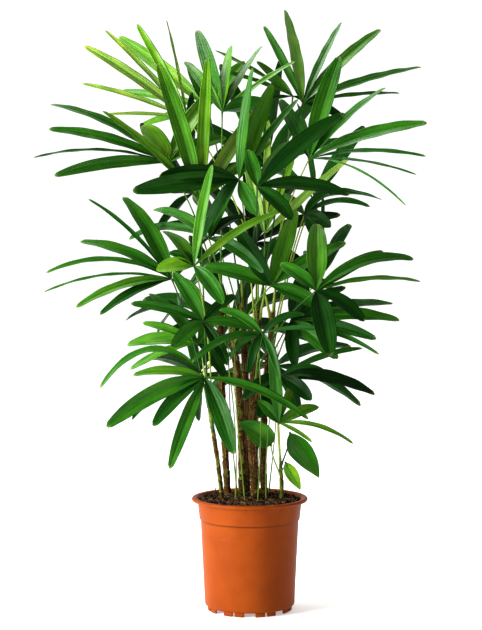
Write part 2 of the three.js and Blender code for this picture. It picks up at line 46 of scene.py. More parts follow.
# Lady palm in a nursery pot. The plant is drawn in millimetres about the pot's own axis, as the
# solids are, and toMetres puts those millimetres into the frame.
potLow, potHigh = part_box("pot")
potAxis = np.array([(potLow.x + potHigh.x) / 2, (potLow.y + potHigh.y) / 2, 0])


def toMetres(points):
    return np.asarray(points, float) / 1000 + potAxis


# materials

def linear(hexColour):
    # sRGB hex to linear light
    channels = np.array([int(hexColour[i:i + 2], 16) / 255 for i in (1, 3, 5)])
    light = np.where(channels <= 0.04045, channels / 12.92, ((channels + 0.055) / 1.055) ** 2.4)
    return (*light, 1.0)


def addNode(tree, kind, inputs=None, out=0, **settings):
    # one node with its settings and its links; gives back the output asked for
    node = tree.nodes.new("ShaderNode" + kind)
    for name, value in settings.items():
        setattr(node, name, value)
    for key, value in (inputs or {}).items():
        if isinstance(value, bpy.types.NodeSocket):
            tree.links.new(value, node.inputs[key])
        else:
            node.inputs[key].default_value = value
    return node.outputs[out] if node.outputs else node


def newMaterial(name):
    material = bpy.data.materials.new(name)
    material.use_nodes = True
    material.node_tree.nodes.clear()
    return material, material.node_tree


def span(low, high, start=0.0, end=1.0):
    # the four limits of a Map Range: from start to end as its value goes from low to high
    return {"From Min": low, "From Max": high, "To Min": start, "To Max": end}


mixColours = dict(out=2, data_type="RGBA")  # a Mix node for colours, and its output for them


def layOver(tree, under, over, value, limits):
    # lays one colour over another by a value, between the limits that span takes
    share = addNode(tree, "MapRange", {"Value": value, **span(*limits)})
    return addNode(tree, "Mix", {0: share, 6: under, 7: over}, **mixColours)


# meshes

def makePiece(name, shapes, material, nodes):
    # shapes are (points in mm, arrays of faces, uv), and are joined into one mesh
    points = np.concatenate([shape[0] for shape in shapes])
    uv = np.concatenate([shape[2] for shape in shapes])
    starts = np.cumsum([0] + [len(shape[0]) for shape in shapes])
    faces = [block + start for shape, start in zip(shapes, starts) for block in shape[1]]
    corners = np.concatenate([block.ravel() for block in faces])
    sizes = np.concatenate([np.full(len(block), block.shape[1]) for block in faces])
    mesh = bpy.data.meshes.new(name)
    mesh.vertices.add(len(points))
    mesh.vertices.foreach_set("co", toMetres(points).ravel())
    mesh.loops.add(len(corners))
    mesh.loops.foreach_set("vertex_index", corners.astype(np.int32))
    mesh.polygons.add(len(sizes))
    mesh.polygons.foreach_set("loop_start", (np.cumsum(sizes) - sizes).astype(np.int32))
    mesh.polygons.foreach_set("use_smooth", np.ones(len(sizes), bool))
    mesh.uv_layers.new(name="UVMap").data.foreach_set("uv", uv[corners].ravel())
    mesh.update(calc_edges=True)
    mesh.materials.append(material)
    piece = bpy.data.objects.new(name, mesh)
    bpy.context.scene.collection.objects.link(piece)
    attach(piece, "root")
    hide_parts(*nodes)
    print(f"{name}: {int((sizes - 2).sum())} triangles")
    return piece


def unit(vectors):
    return vectors / np.linalg.norm(vectors, axis=-1, keepdims=True)


def between(first, second, share):
    return first + (second - first) * share


def ramp(value, zeroAt, oneAt):
    # 0 at one value, 1 at another, straight between them and level beyond
    return np.clip((value - zeroAt) / (oneAt - zeroAt), 0, 1)


def quadratic(start, knee, end, t):
    return (1 - t) ** 2 * start + 2 * t * (1 - t) * knee + t ** 2 * end


def fullTurn(count):
    return np.linspace(0, 2 * np.pi, count, endpoint=False)


def lengthsAlong(line):
    return np.concatenate([[0], np.cumsum(np.linalg.norm(np.diff(line, axis=0), axis=1))])


def gridFaces(rows, columns):
    # quads of a surface closed round its columns
    row, column = np.meshgrid(np.arange(rows - 1), np.arange(columns), indexing="ij")
    right = (column + 1) % columns
    return np.stack([row * columns + column, row * columns + right, (row + 1) * columns + right,
                     (row + 1) * columns + column], axis=-1).reshape(-1, 4)


def closedRings(rings, foot, head):
    # rings of points joined each to the next, and closed to a point at each end
    rows, around = rings.shape[:2]
    step = np.arange(around)
    after, last = (step + 1) % around, (rows - 1) * around
    footFaces = np.stack([np.full(around, rows * around), after, step], axis=-1)
    headFaces = np.stack([np.full(around, rows * around + 1), last + step, last + after], axis=-1)
    points = np.concatenate([rings.reshape(-1, 3), [foot, head]])
    return points, [gridFaces(rows, around), footFaces, headFaces]


def closedUv(across, along, end):
    # UV of closed rings, with 0 at the foot's point and end at the head's
    uv = np.stack(np.broadcast_arrays(across, along), axis=-1).reshape(-1, 2)
    return np.concatenate([uv, [[0, 0], [0, end]]])


def sweep(line, side, up, radii, angle):
    # point(s, a) = line(s) + r(s, a) (cos a side(s) + sin a up(s)), closed at each end
    spokes = np.cos(angle)[..., None] * side[:, None] + np.sin(angle)[..., None] * up[:, None]
    return closedRings(line[:, None] + radii[..., None] * spokes, line[0], line[-1])


def tube(line, radii, around, uvScale=1.0):
    # A round tube swept along its line. The guide stands across the bend of the line, so that the
    # sides don't turn over.
    along = unit(np.gradient(line, axis=0))
    guide = np.cross(along[0], along[-1])
    if np.linalg.norm(guide) < 0.05:  # as good as straight
        guide = np.cross(along[0], np.eye(3)[np.argmin(np.abs(along[0]))])
    side = unit(guide - along * (along @ guide)[:, None])
    angle, lengths = fullTurn(around), lengthsAlong(line) * uvScale
    points, faces = sweep(line, side, np.cross(along, side), np.reshape(radii, (-1, 1)), angle)
    return points, faces, closedUv(angle / (2 * np.pi), lengths[:, None], lengths[-1])


# pot

pot = dict(
    profile=[  # radius, height and how far each corner is rounded
        (0, 8, 0), (78.5, 8, 0), (81.1, 10.5, 2.2), (87.3, 139.6, 0.6), (86.9, 140.6, 0.6),
        (87.4, 141.6, 0.6), (88.4, 162.6, 0.5), (90.6, 165.2, 0.9), (94, 197.4, 1.2),
        (95.6, 198, 0.8), (103.6, 197.8, 1.6), (105, 200.6, 2.2), (103.4, 203.6, 1.8),
        (99.6, 204, 3), (95.2, 203.6, 2.2), (91.2, 197, 2.4), (88, 165, 1), (78.2, 11, 2.5),
        (0, 11, 0)],
    inside=([11, 165, 197, 204], [78.2, 88, 91.2, 95]),  # the inner wall's heights and radii
    cornerSteps=5, cornerMost=0.45, around=192,
    footRadius=77, footThickness=4, footHeight=8, footSunk=1,
    pairs=8, tab=18.5, slot=3.7, tabSteps=8, tabRound=1.8,
    shade="#80380A", worn="#89400E", mottle=(0.35, 0.7),
    # each mark: two heights in metres and how much lies at each; dust, with painted shade under the
    # lip, in patches by its noise
    dustAndShade="#64290B", dustAndShadeHeight=(0.175, 0.2, 0.0, 0.4), dustAndShadePatches=(0.5, 0.75),
    # painted shade: a dark line in the crease under the collar
    creaseShade="#4E1C06", creaseRise=(0.1612, 0.1634, 0.0, 0.65), creaseFall=(0.1648, 0.166, 1.0, 0.0),
    grain=1.6, grainDepth=0.05, roughness=(0.42, 0.48), shine=0.06)


def roundedLine(corners):
    # each corner is cut back by its round on both sides, and the cuts are joined by the quadratic
    # curve (1-t)^2 before + 2t(1-t) corner + t^2 after
    places = np.array([corner[:2] for corner in corners], float)
    t = np.linspace(0, 1, pot["cornerSteps"])[:, None]
    line = [places[0]]
    for before, corner, after, (*_, cut) in zip(places, places[1:], places[2:], corners[1:]):
        if not cut:
            line.append(corner)
            continue
        start, end = (corner + unit(way) * min(cut, np.linalg.norm(way) * pot["cornerMost"])
                      for way in (before - corner, after - corner))
        line += list(quadratic(start, corner, end, t))
    return np.array(line + [places[-1]])


def turnedShell(profile, around):
    # a profile that starts and ends on the axis, turned: (r cos a, r sin a, z)
    ring, angle = profile[1:-1], fullTurn(around)
    line = np.stack([0 * ring[:, 1], 0 * ring[:, 1], ring[:, 1]], axis=-1)
    points, faces = sweep(line, np.eye(3)[:1], np.eye(3)[1:2], ring[:, :1], angle)
    return points, faces, closedUv(angle / (2 * np.pi), lengthsAlong(ring)[:, None] / 100, 1)


def footTabs():
    # the foot is a ring cut into pairs of tabs with a narrow slot inside each pair; each tab is a
    # section (radius, height) of four corners carried along its arc
    wide, gap = pot["tab"] / pot["footRadius"], pot["slot"] / pot["footRadius"]
    outer, inner = pot["footRadius"], pot["footRadius"] - pot["footThickness"]
    top = pot["footHeight"] + pot["footSunk"]
    radius, height = np.array([(outer, 0), (outer, top), (inner, top), (inner, 0)]).T
    last = (pot["tabSteps"] - 1) * 4
    faces = [gridFaces(pot["tabSteps"], 4)[:, ::-1],
             np.array([[0, 1, 2, 3], [last + 3, last + 2, last + 1, last]])]
    tabs = []
    for pair in range(pot["pairs"]):
        for side in (-1, 1):
            centre = (pair + 0.5) / pot["pairs"] * 2 * np.pi + side * (wide + gap) / 2
            angle = np.linspace(centre - wide / 2, centre + wide / 2, pot["tabSteps"])[:, None]
            tab = np.broadcast_arrays(radius * np.cos(angle), radius * np.sin(angle), height)
            points = np.stack(tab, axis=-1).reshape(-1, 3)
            tabs.append((points, faces, points[:, [0, 2]] / 100))
    return tabs


def polypropylene():
    # Injection-moulded polypropylene in terracotta: an even satin orange with a faint mottle in
    # clouds of 42 mm, a fine moulded grain that softens the highlight, a little dried compost dust
    # under the lip in patches of 14 mm, darkened to paint in the shade under the lip, and a dark
    # line of painted shade in the crease under the collar. Each mark lies where two ranges overlap.
    material, tree = newMaterial("mouldedPolypropylene")
    place = addNode(tree, "TexCoord", out="Object")
    cloud = addNode(tree, "TexNoise", {"Vector": place, "Scale": 24.0, "Detail": 5.0})
    mottle = addNode(tree, "MapRange", {"Value": cloud, **span(*pot["mottle"])})
    colour = addNode(tree, "Mix", {0: mottle, 6: linear(pot["shade"]), 7: linear(pot["worn"])},
                     **mixColours)
    height = addNode(tree, "SeparateXYZ", {"Vector": place}, out="Z")
    speck = addNode(tree, "TexNoise", {"Vector": place, "Scale": 70.0, "Detail": 6.0})
    # the dust under the lip is partly painted shade; the crease line is painted shade
    darkMarks = [(pot["dustAndShade"], (height, pot["dustAndShadeHeight"]), (speck, pot["dustAndShadePatches"])),
              (pot["creaseShade"], (height, pot["creaseRise"]), (height, pot["creaseFall"]))]
    for darkMark, *ranges in darkMarks:
        one, other = (addNode(tree, "MapRange", {"Value": value, **span(*limits)})
                      for value, limits in ranges)
        both = addNode(tree, "Math", {0: one, 1: other}, operation="MULTIPLY")
        colour = addNode(tree, "Mix", {0: both, 6: colour, 7: linear(darkMark)}, **mixColours)
    satin = addNode(tree, "MapRange", {"Value": mottle, **span(0.0, 1.0, *pot["roughness"])})
    grain = addNode(tree, "TexNoise", {"Vector": place, "Scale": 1000 / pot["grain"],
                                       "Detail": 1.0})
    relief = addNode(tree, "Bump", {"Height": grain, "Distance": pot["grainDepth"] / 1000,
                                    "Strength": 0.4})
    shader = addNode(tree, "BsdfPrincipled", {
        "Base Color": colour, "Roughness": satin, "Normal": relief, "IOR": 1.49,
        "Specular IOR Level": pot["shine"]})
    addNode(tree, "OutputMaterial", {"Surface": shader})
    return material


plastic = polypropylene()
makePiece("potShell", [turnedShell(roundedLine(pot["profile"]), pot["around"])], plastic,
          ["pot"])
feet = makePiece("potFeet", footTabs(), plastic, ["pot"])
rounding = feet.modifiers.new("rounding", "BEVEL")
rounding.width = pot["tabRound"] / 1000
rounding.segments = 3
rounding.limit_method = "ANGLE"

# soil

soil = dict(
    edge=199, mound=2, moundRadius=92, bottom=11.5, inset=0.6, rim=4,
    rings=70, around=220, middle=0.02,
    waves=5, lumps=2.4, lumpSeed=3, lumpLengths=(31, 17, 9.5),
    fine=0.6, fineSeed=4, fineLengths=(6, 4.3), settled=0.8,
    colours=("#0F0805", "#2A1A0F"), crumb=5.0, crumbShare=(0.38, 0.66))
chip = dict(
    kinds=[  # two colours, how many, size
        ("#140C07", "#140C07", 560, 7.0), ("#3A2615", "#5A3E26", 330, 8.0),
        ("#6E4E30", "#6E4E30", 120, 6.4), ("#B39A78", "#B39A78", 34, 4.2)],
    seed=20, sides=(0.35, 1), shape=(1.0, 0.62, 0.34), uneven=0.35, rise=(-0.6, 1.7), inset=5,
    crumb=2.5)
fibre = dict(
    count=190, seed=12, length=(9, 26), bend=0.9, rise=1.2, hump=(0.2, 2.4), radius=(0.22, 0.5),
    inset=14, steps=6, around=4, colours=("#5E4328", "#8A6C4A"), crumb=6.0)
twig = dict(
    at=(-63, 8), height=19, rooted=4, bend=0.8, radius=1.2, taper=(1.15, 0.75), steps=10,
    around=8, colours=("#20160F", "#4A3826"), crumb=3.0)


def soilLevel(x, y):
    # a low mound: edge + mound (1 - (r/R)^2)
    return soil["edge"] + soil["mound"] * (1 - (x ** 2 + y ** 2) / soil["moundRadius"] ** 2)


def lumpy(x, y, seed, sizes):
    # a sum of crossed waves of several lengths with seeded directions and phases, about -1 to 1
    rng = np.random.default_rng(seed)
    total = np.zeros_like(x)
    for size in sizes:
        for _ in range(soil["waves"]):
            turn, phase = rng.uniform(0, 2 * np.pi, 2)
            across = x * math.cos(turn) + y * math.sin(turn)
            total += np.sin(across * 2 * np.pi / size + phase) / soil["waves"]
    return total / len(sizes)


def potInside(height):
    return np.interp(height, *pot["inside"])


def soilBody():
    # rings from the middle out, r = R share, z = mound + lumps; then down the wall and under
    share = np.linspace(soil["middle"], 1, soil["rings"])[:, None]
    angle = fullTurn(soil["around"])
    edge = potInside(soil["edge"]) - soil["inset"]
    x, y = edge * share * np.cos(angle), edge * share * np.sin(angle)
    fine = np.abs(lumpy(x, y, soil["fineSeed"], soil["fineLengths"]))
    lumps = lumpy(x, y, soil["lumpSeed"], soil["lumpLengths"]) + soil["fine"] * fine
    top = np.stack([x, y, soilLevel(x, y) + soil["lumps"] * lumps - soil["settled"]], axis=-1)
    down = np.array([soil["edge"] - soil["rim"], pot["inside"][0][1], soil["bottom"]])[:, None]
    radius = potInside(down) - soil["inset"]
    wall = np.stack(np.broadcast_arrays(radius * np.cos(angle), radius * np.sin(angle), down), -1)
    points, faces = closedRings(np.concatenate([top, wall]), [0, 0, soilLevel(0, 0)],
                                [0, 0, soil["bottom"]])
    return points, [block[:, ::-1] for block in faces], points[:, :2] / 100


def turned(rng, count):
    # seeded rotation matrices from unit quaternions
    w, x, y, z = unit(rng.normal(size=(count, 4))).T
    return np.stack([1 - 2 * (y * y + z * z), 2 * (x * y - z * w), 2 * (x * z + y * w),
                     2 * (x * y + z * w), 1 - 2 * (x * x + z * z), 2 * (y * z - x * w),
                     2 * (x * z - y * w), 2 * (y * z + x * w), 1 - 2 * (x * x + y * y)],
                    axis=-1).reshape(-1, 3, 3)


cubeCorners = np.array([(x, y, z) for z in (-1, 1) for y in (-1, 1) for x in (-1, 1)], float) / 2
cubeFaces = np.array([[0, 2, 3, 1], [4, 5, 7, 6], [0, 1, 5, 4],
                      [2, 6, 7, 3], [0, 4, 6, 2], [1, 3, 7, 5]])


def scattered(rng, count, inset):
    # spots spread evenly over the soil, out to its edge less the inset
    edge = potInside(soil["edge"]) - inset
    radius, angle = edge * np.sqrt(rng.uniform(0, 1, count)), rng.uniform(0, 2 * np.pi, count)
    return radius * np.cos(angle), radius * np.sin(angle)


def chips(seed, count, size):
    # split bark chips: boxes with every corner moved, turned any way and half sunk in the soil
    rng = np.random.default_rng(seed)
    sides = size * rng.uniform(*chip["sides"], (count, 1, 3)) * chip["shape"]
    moved = 1 + rng.uniform(-chip["uneven"], chip["uneven"], (count, 8, 3))
    local = cubeCorners * moved * sides
    x, y = scattered(rng, count, chip["inset"])
    spots = np.stack([x, y, soilLevel(x, y) + rng.uniform(*chip["rise"], count)], axis=-1)
    points = (np.einsum("nij,nkj->nki", turned(rng, count), local) + spots[:, None]).reshape(-1, 3)
    faces = cubeFaces[None] + 8 * np.arange(count)[:, None, None]
    return points, [faces.reshape(-1, 4)], points[:, :2] / 100


def looseFibres():
    # short fibres on the soil: straight runs bowed sideways by bend t^2, humped by 1 - (2t)^2
    rng = np.random.default_rng(fibre["seed"])
    t = np.linspace(-0.5, 0.5, fibre["steps"])
    strands = []
    for x, y in zip(*scattered(rng, fibre["count"], fibre["inset"])):
        length, bearing = rng.uniform(*fibre["length"]), rng.uniform(0, 2 * np.pi)
        bow = rng.uniform(-fibre["bend"], fibre["bend"]) * t ** 2
        px = x + length * (t * math.cos(bearing) - bow * math.sin(bearing))
        py = y + length * (t * math.sin(bearing) + bow * math.cos(bearing))
        pz = soilLevel(px, py) + fibre["rise"] + rng.uniform(*fibre["hump"]) * (1 - (2 * t) ** 2)
        radii = np.full(len(t), rng.uniform(*fibre["radius"]))
        strands.append(tube(np.stack([px, py, pz], axis=-1), radii, fibre["around"]))
    return strands


def deadTwig():
    # a stub that leans by a slow sine as it rises: x = foot + bend sin 2t
    t = np.linspace(0, 1, twig["steps"])
    x, y = twig["at"]
    z = soilLevel(x, y) - twig["rooted"] + t * (twig["height"] + twig["rooted"])
    line = np.stack([x + twig["bend"] * np.sin(2 * t), y + 0 * t, z], axis=-1)
    return tube(line, twig["radius"] * np.linspace(*twig["taper"], len(t)), twig["around"])


def compost(name, dark, light, size):
    # Bark and peat compost, damp below and dry on top: matt crumbs of two browns. Loose fibres,
    # the dead twig and frayed threads of sheath are as matt and as mottled.
    material, tree = newMaterial(name)
    place = addNode(tree, "TexCoord", out="Object")
    crumbs = addNode(tree, "TexNoise", {"Vector": place, "Scale": 1000 / size, "Detail": 4.0,
                                        "Roughness": 0.7})
    colour = layOver(tree, linear(dark), linear(light), crumbs, soil["crumbShare"])
    relief = addNode(tree, "Bump", {"Height": crumbs, "Distance": 0.0012})
    shader = addNode(tree, "BsdfPrincipled", {
        "Base Color": colour, "Roughness": 0.95, "Normal": relief, "Specular IOR Level": 0.15})
    addNode(tree, "OutputMaterial", {"Surface": shader})
    return material


makePiece("soilBed", [soilBody()], compost("peatCompost", *soil["colours"], soil["crumb"]),
          ["soil"])
for index, (dark, light, count, size) in enumerate(chip["kinds"]):
    makePiece(f"soilChips{index}", [chips(chip["seed"] + index, count, size)],
              compost(f"barkChips{index}", dark, light, chip["crumb"]), ["soil"])
makePiece("soilFibres", looseFibres(), compost("coirFibre", *fibre["colours"], fibre["crumb"]),
          ["soil"])
makePiece("soilTwig", [deadTwig()], compost("deadTwig", *twig["colours"], twig["crumb"]),
          ["soil"])
print("pot and soil made")

# canes, leaves and the rule that places them

# Canes from the soil up: route, radius at the foot and at the tip, and how far apart leaves sit
# from the tip down. green says how much of its sheaths is still green.
canes = dict(
    left=dict(foot=4, tip=3, apart=24, green=0.62,
              route=[(-48, -12, 185), (-56, -22, 262), (-68, -40, 345), (-76, -62, 405)]),
    leftBack=dict(foot=6, tip=5, apart=24, green=0.3,
                  route=[(-39, 40, 185), (-45, 46, 290), (-52, 40, 440), (-52, 30, 588)]),
    middleLeft=dict(foot=7, tip=5.5, apart=24, green=0.42,
                    route=[(-14, 14, 185), (-14, 8, 300), (-22, -6, 420), (-34, -14, 520)]),
    middle=dict(foot=8, tip=7, apart=24, green=0.26,
                route=[(12, -14, 185), (6, -10, 300), (10, -2, 430), (14, 4, 560)]),
    middleRight=dict(foot=6.5, tip=5, apart=24, green=0.15,
                     route=[(27, 24, 185), (24, 28, 300), (32, 34, 420), (42, 38, 535)]),
    back=dict(foot=6, tip=5, apart=24, green=0.3,
              route=[(-6, 62, 185), (-4, 72, 300), (-8, 84, 430), (-14, 90, 560)]),
    young=dict(foot=4.2, tip=3.2, apart=9, green=0.95,
               route=[(57, -4, 185), (57, -4, 236), (54, -4, 284)]))


def leafOn(cane, hub, lean, reach, width, sag, tone, blades, odd={}, slim={}, turn=0):
    entries = [entry if isinstance(entry, tuple) else (entry,) for entry in blades]
    return dict(cane=cane, hub=np.array(hub, float), lean=lean, reach=reach, width=width, sag=sag,
                tone=tone, blades=[(entry + (1, 1, 1))[:4] for entry in entries], odd=odd,
                slim=slim, turn=turn)


# Each leaf: its cane, its hub where the blades meet, how far the fan's plane runs back for each
# step right and up, the reach, width and sag of its blades, its green, which paints in how lit it
# is, and the blades' headings in degrees clockwise from straight up. A heading stands alone or with
# its shares of reach, width and sag. odd: blades of another green, likewise painted lighter or
# darker for how lit they are. slim: blades drawn narrower than their solids. turn: degrees about
# the vertical, from the front, of the side that the fan faces.
fronds = [
    leafOn("middle", (94, 0, 909), (0.3, 0.9), 232, 28, 0.2, "mid",
           [(-25, 0.71, 0.6), (-9, 0.77), (26, 0.74, 0.8), (46, 0.9), (72, 1.02, 0.8),
            (83, 0.77, 0.4)], odd={1: "young", 3: "fresh"}, slim={2: 0.85}),
    leafOn("leftBack", (-49, -20, 894), (-0.3, 0.9), 160, 34, 0.2, "fresh",
           [(-36, 0.75, 0.7), (-17, 1, 1.15), (7, 0.77, 0.8), (30, 1, 0.7), (55, 1, 0.4),
            (78, 0.5)], odd={1: "mid", 5: "deep"}, slim={1: 0.7, 3: 0.85}),
    leafOn("middle", (104, -60, 811), (-0.4, 0.85), 214, 29, 0.4, "mid",
           [(-25, 0.5), (17, 0.8, 1.3), (47, 0.86, 0.9), 73, (89, 0.92, 0.5), (99, 0.87, 0.35),
            (118, 0.85, 0.35, 2)], odd={0: "deep", 4: "deep", 5: "deep"},
           slim={4: 0.6, 5: 0.55, 6: 0.5}),
    leafOn("left", (-87, -90, 738), (0.3, 0.2), 248, 32, 0.35, "fresh",
           [(-47, 0.94, 0.7), -17, (3, 1, 0.8), (34, 0.98, 1, 1.5), (50, 0.72, 0.6)],
           odd={0: "young", 2: "young", 3: "sunlit", 4: "young"}, slim={0: 0.75, 3: 0.8}),
    leafOn("leftBack", (-145, -60, 804), (0.45, 0.8), 226, 29, 0.5, "mid",
           [(-97, 0.86, 0.8), (-88, 1, 0.3), (-74, 0.93, 0.8), (-63, 1.02, 0.85), (-33, 0.36, 1.5),
            (31, 0.68), (66, 0.5)], odd={1: "deep", 4: "young", 5: "young", 6: "fresh"}),
    leafOn("middleRight", (-113, 40, 885), (0.3, 0.3), 222, 22, 0.25, "sunlit",
           [(-88, 0.66, 0.35), (-72, 0.88, 0.45), (-55, 1), (-43, 0.96, 0.6), (-28, 0.87, 0.8),
            (-12, 0.84, 0.3)], odd={4: "young"}),
    leafOn("back", (-76, 90, 905), (-0.3, 0.4), 216, 29, 0.2, "fresh",
           [(-104, 0.6, 0.6), (-78, 0.76, 0.6), (-51, 1), (-24, 0.44), (38, 0.5)],
           odd={2: "young", 3: "mid"}),
    leafOn("middleRight", (78, 64, 925), (0.4, 0.6), 168, 20, 0.2, "fresh",
           [(-100, 0.6, 0.6), (-70, 0.8, 0.5), (-59, 1, 0.6), (-45, 0.58, 0.8), (112, 0.6)],
           odd={0: "deep", 4: "dark"}),
    leafOn("middle", (-19, -64, 774), (-0.3, 0.5), 200, 32, 0.35, "dark",
           [(-149, 0.6, 1.2), (-96, 1, 1.25, 0.5), (-78, 0.7), (7, 0.9), (19, 0.85),
            (36, 0.9, 0.6), (152, 0.3)], odd={1: "deep", 3: "mid", 4: "fresh", 5: "mid", 6: "mid"},
           slim={3: 0.8}),
    leafOn("middle", (12, -112, 762), (0.4, 0.5), 170, 31, 0.45, "deep",
           [(-14, 0.4), (36, 0.65), (50, 1, 1.2), (95, 0.96, 0.9), (134, 0.5)],
           odd={0: "mid", 1: "fresh", 2: "dark"}, slim={2: 0.85}),
    leafOn("middle", (27, 16, 677), (-0.2, 0.2), 208, 20, 0.1, "sunlit",
           [(-14, 0.8), (2, 1, 0.8), (21, 0.7), 48], odd={2: "young"}),
    leafOn("middleRight", (99, 40, 711), (-0.4, 0.7), 130, 24, 0.8, "deep",
           [(-62, 0.6), (50, 0.6), (82, 0.95, 0.6, 1.6), (116, 0.4, 1.2), (156, 0.5)],
           odd={0: "mid"}),
    leafOn("left", (-138, -44, 599), (0.3, 0.6), 224, 27, 0.6, "mid",
           [(-116, 0.62, 0.8), (-106, 0.78, 0.8), (-95, 1, 0.25), (-86, 1.03, 0.4, 1.5),
            (-67, 0.8), (-46, 0.92, 0.35), (-31, 0.76, 1.3), (127, 0.3)],
           odd={0: "deep", 1: "fresh", 5: "deep"}),
    leafOn("middleLeft", (-72, -56, 671), (-0.3, 0.7), 190, 26, 0.9, "deep",
           [(-140, 0.5), (-92, 1, 0.7), (-58, 0.6), (18, 0.6), (62, 0.5), (122, 0.6)],
           odd={0: "shade", 2: "mid", 3: "mid", 4: "dark"}),
    leafOn("left", (-96, -150, 627), (0.2, 0.8), 164, 29, 0.6, "fresh",
           [(-96, 0.4), (-62, 0.3), (-42, 0.5, 1.2), (10, 0.85, 0.8), (58, 1, 0.6), (142, 0.5)],
           odd={0: "young", 1: "deep", 4: "young", 5: "mid"}, slim={3: 0.85}),
    leafOn("middle", (113, -130, 583), (0.3, 0.8), 196, 29, 0.5, "mid",
           [(-52, 0.4), (3, 0.58, 1.4), (62, 0.72, 0.8), (73, 0.97, 0.85, 2), (86, 0.95, 0.5),
            (122, 0.5), (168, 0.56, 1.35)],
           odd={1: "fresh", 2: "fresh", 4: "fresh", 5: "dark", 6: "dark"}),
    leafOn("middleLeft", (37, -66, 588), (-0.2, 0.5), 150, 34, 0.3, "dark",
           [(-74, 0.8), (-30, 0.7), (18, 0.9), 60, (112, 0.6)],
           odd={0: "mid", 2: "fresh", 3: "mid", 4: "mid"}),
    leafOn("middleRight", (76, 56, 519), (-0.3, 0.6), 194, 33, 0.3, "dark",
           [(16, 0.5), (58, 0.6), (80, 0.97), (89, 1, 1.1), (101, 0.8, 0.8), (128, 0.55),
            (176, 0.42)], odd={2: "deep", 3: "mid", 4: "deep", 5: "mid"}),
    leafOn("middleLeft", (-81, -130, 530), (0.3, 0.6), 140, 26, 0.5, "mid",
           [(-128, 0.5), (-75, 0.92, 0.7), (-30, 0.7), (52, 0.5, 0.8), (100, 0.6), (150, 0.6)],
           odd={1: "deep", 3: "deep", 5: "dark"}),
    leafOn("middle", (21, -134, 509), (-0.3, 0.3), 207, 16, 1.2, "deep",
           [(-112, 0.68), (-132, 0.36), (-164, 0.36), (-58, 0.4), (62, 0.4), (99, 1, 0.6),
            (160, 0.4)], odd={2: "dark", 3: "mid", 4: "dark"}),
    leafOn("leftBack", (-93, -40, 484), (0.3, 0.8), 146, 28, 0.5, "fresh",
           [(-112, 0.8, 0.6), (-92, 0.84, 1.1), (-70, 0.76, 0.6), (-45, 0.84), (30, 0.5),
            (142, 0.5)], odd={3: "mid", 5: "deep"}),
    leafOn("left", (-78, -158, 436), (0.2, 0.35), 206, 36, 0.6, "mid",
           [(-98, 1.06, 0.35, 4), (-87, 0.6, 0.6), (-116, 0.88), (-133, 0.58, 0.8),
            (-159, 0.78, 0.65), (159, 0.66, 1), (113, 0.96, 0.5)],
           odd={1: "fresh", 3: "deep", 5: "deep"}),
    leafOn("middleRight", (56, -16, 423), (-0.3, 0.7), 166, 31, 0.6, "dark",
           [(-150, 0.5), (-118, 0.6), (70, 0.92, 0.5), (86, 0.5), (99, 1), (126, 0.4)],
           odd={2: "deep", 3: "deep", 4: "shade"}),
    leafOn("young", (51, -60, 345), (0.2, 0.4), 140, 23, 0.5, "young",
           [(-42, 0.4), (-5, 0.98, 1.1), (24, 0.98, 0.7), (70, 0.56), (107, 1, 0.4, 1.6),
            (120, 0.5, 0.4)], odd={0: "mid", 1: "mid", 3: "fresh"}),
    leafOn("back", (30, 140, 800), (0.2, 0.5), 180, 28, 0.4, "deep",
           [-74, -38, -8, 24, 62, (104, 0.8)], turn=180),
    leafOn("back", (-104, 124, 748), (0.2, 0.7), 180, 28, 0.5, "dark",
           [(-112, 0.8), -66, -22, (16, 0.9), 52, (88, 0.8), (140, 0.5)], turn=230),
    leafOn("middleRight", (118, 116, 738), (-0.2, 0.7), 180, 28, 0.5, "deep",
           [(-90, 0.8), -50, (-12, 0.9), 26, 66, (128, 0.6)], turn=130),
    leafOn("back", (8, 196, 654), (0.2, 0.6), 186, 29, 0.6, "shade",
           [(-118, 0.7), -72, (-34, 0.9), 4, 42, 80, (124, 0.7)], turn=180),
    leafOn("leftBack", (-128, 84, 540), (0.2, 0.7), 160, 27, 0.6, "deep",
           [(-126, 0.6), -78, (-32, 0.8), (12, 0.8), (58, 0.8), (98, 0.9)], turn=262),
    leafOn("middleRight", (124, 84, 590), (-0.2, 0.7), 160, 27, 0.6, "dark",
           [(-94, 0.9), -54, (-14, 0.8), (26, 0.8), 74, (126, 0.6)], turn=98),
    leafOn("back", (-34, 196, 500), (0, 0.4), 180, 28, 0.8, "dark",
           [(-150, 0.6), -104, (-68, 0.9), -26, 20, 64, (102, 0.9), (150, 0.6)], turn=190),
    leafOn("back", (48, 168, 424), (0, 0.4), 176, 28, 0.8, "dark",
           [(-158, 0.6), -116, (-74, 0.9), (30, 0.6), 76, (114, 0.9), (160, 0.6)], turn=165),
    leafOn("leftBack", (-92, 124, 410), (0, 0.4), 166, 26, 0.8, "deep",
           [(-160, 0.6), -112, (-66, 0.7), (24, 0.7), 74, 118], turn=225)]
youngLeaves = [
    leafOn("young", (72, -14, 322), (0, -0.5), 106, 46, 0.4, "mid", [149]),
    leafOn("young", (64, -12, 268), (0, -0.05), 58, 24, 0.4, "young", [152]),
    leafOn("young", (38, -14, 300), (0, -0.3), 80, 38, 0.6, "mid", [-52])]

petiole = dict(radius=2.2, first=12, rooted=0.3, climb=0.62, stray=0.22, lift=14,
               slides=range(0, 57, 8),
               swings=[0, 0.4, -0.4, 0.8, -0.8, 1.2, -1.2, 1.6, -1.6, 2, -2, 2.4, -2.4, math.pi])
blade = dict(fold=0.3, hubWidth=1.6, fullAt=0.55, swell=1.6, tipShare=0.3, tipRound=2.4,
             turns=[0, 5, -5, 10, -10], leans=[0, 0.25, -0.25, 0.5, -0.5, 0.75, -0.75])
varied = dict(length=0.02, width=0.1, sag=0.2, roll=0.3, twist=0.5, seedStep=1009)
room = dict(gap=0.3, blade=7.5, along=24, across=5, root=0.15, rootEase=3.5, hub=5,
            petiole=0.05, spots=160)
upward = np.array([0.0, 0.0, 1.0])


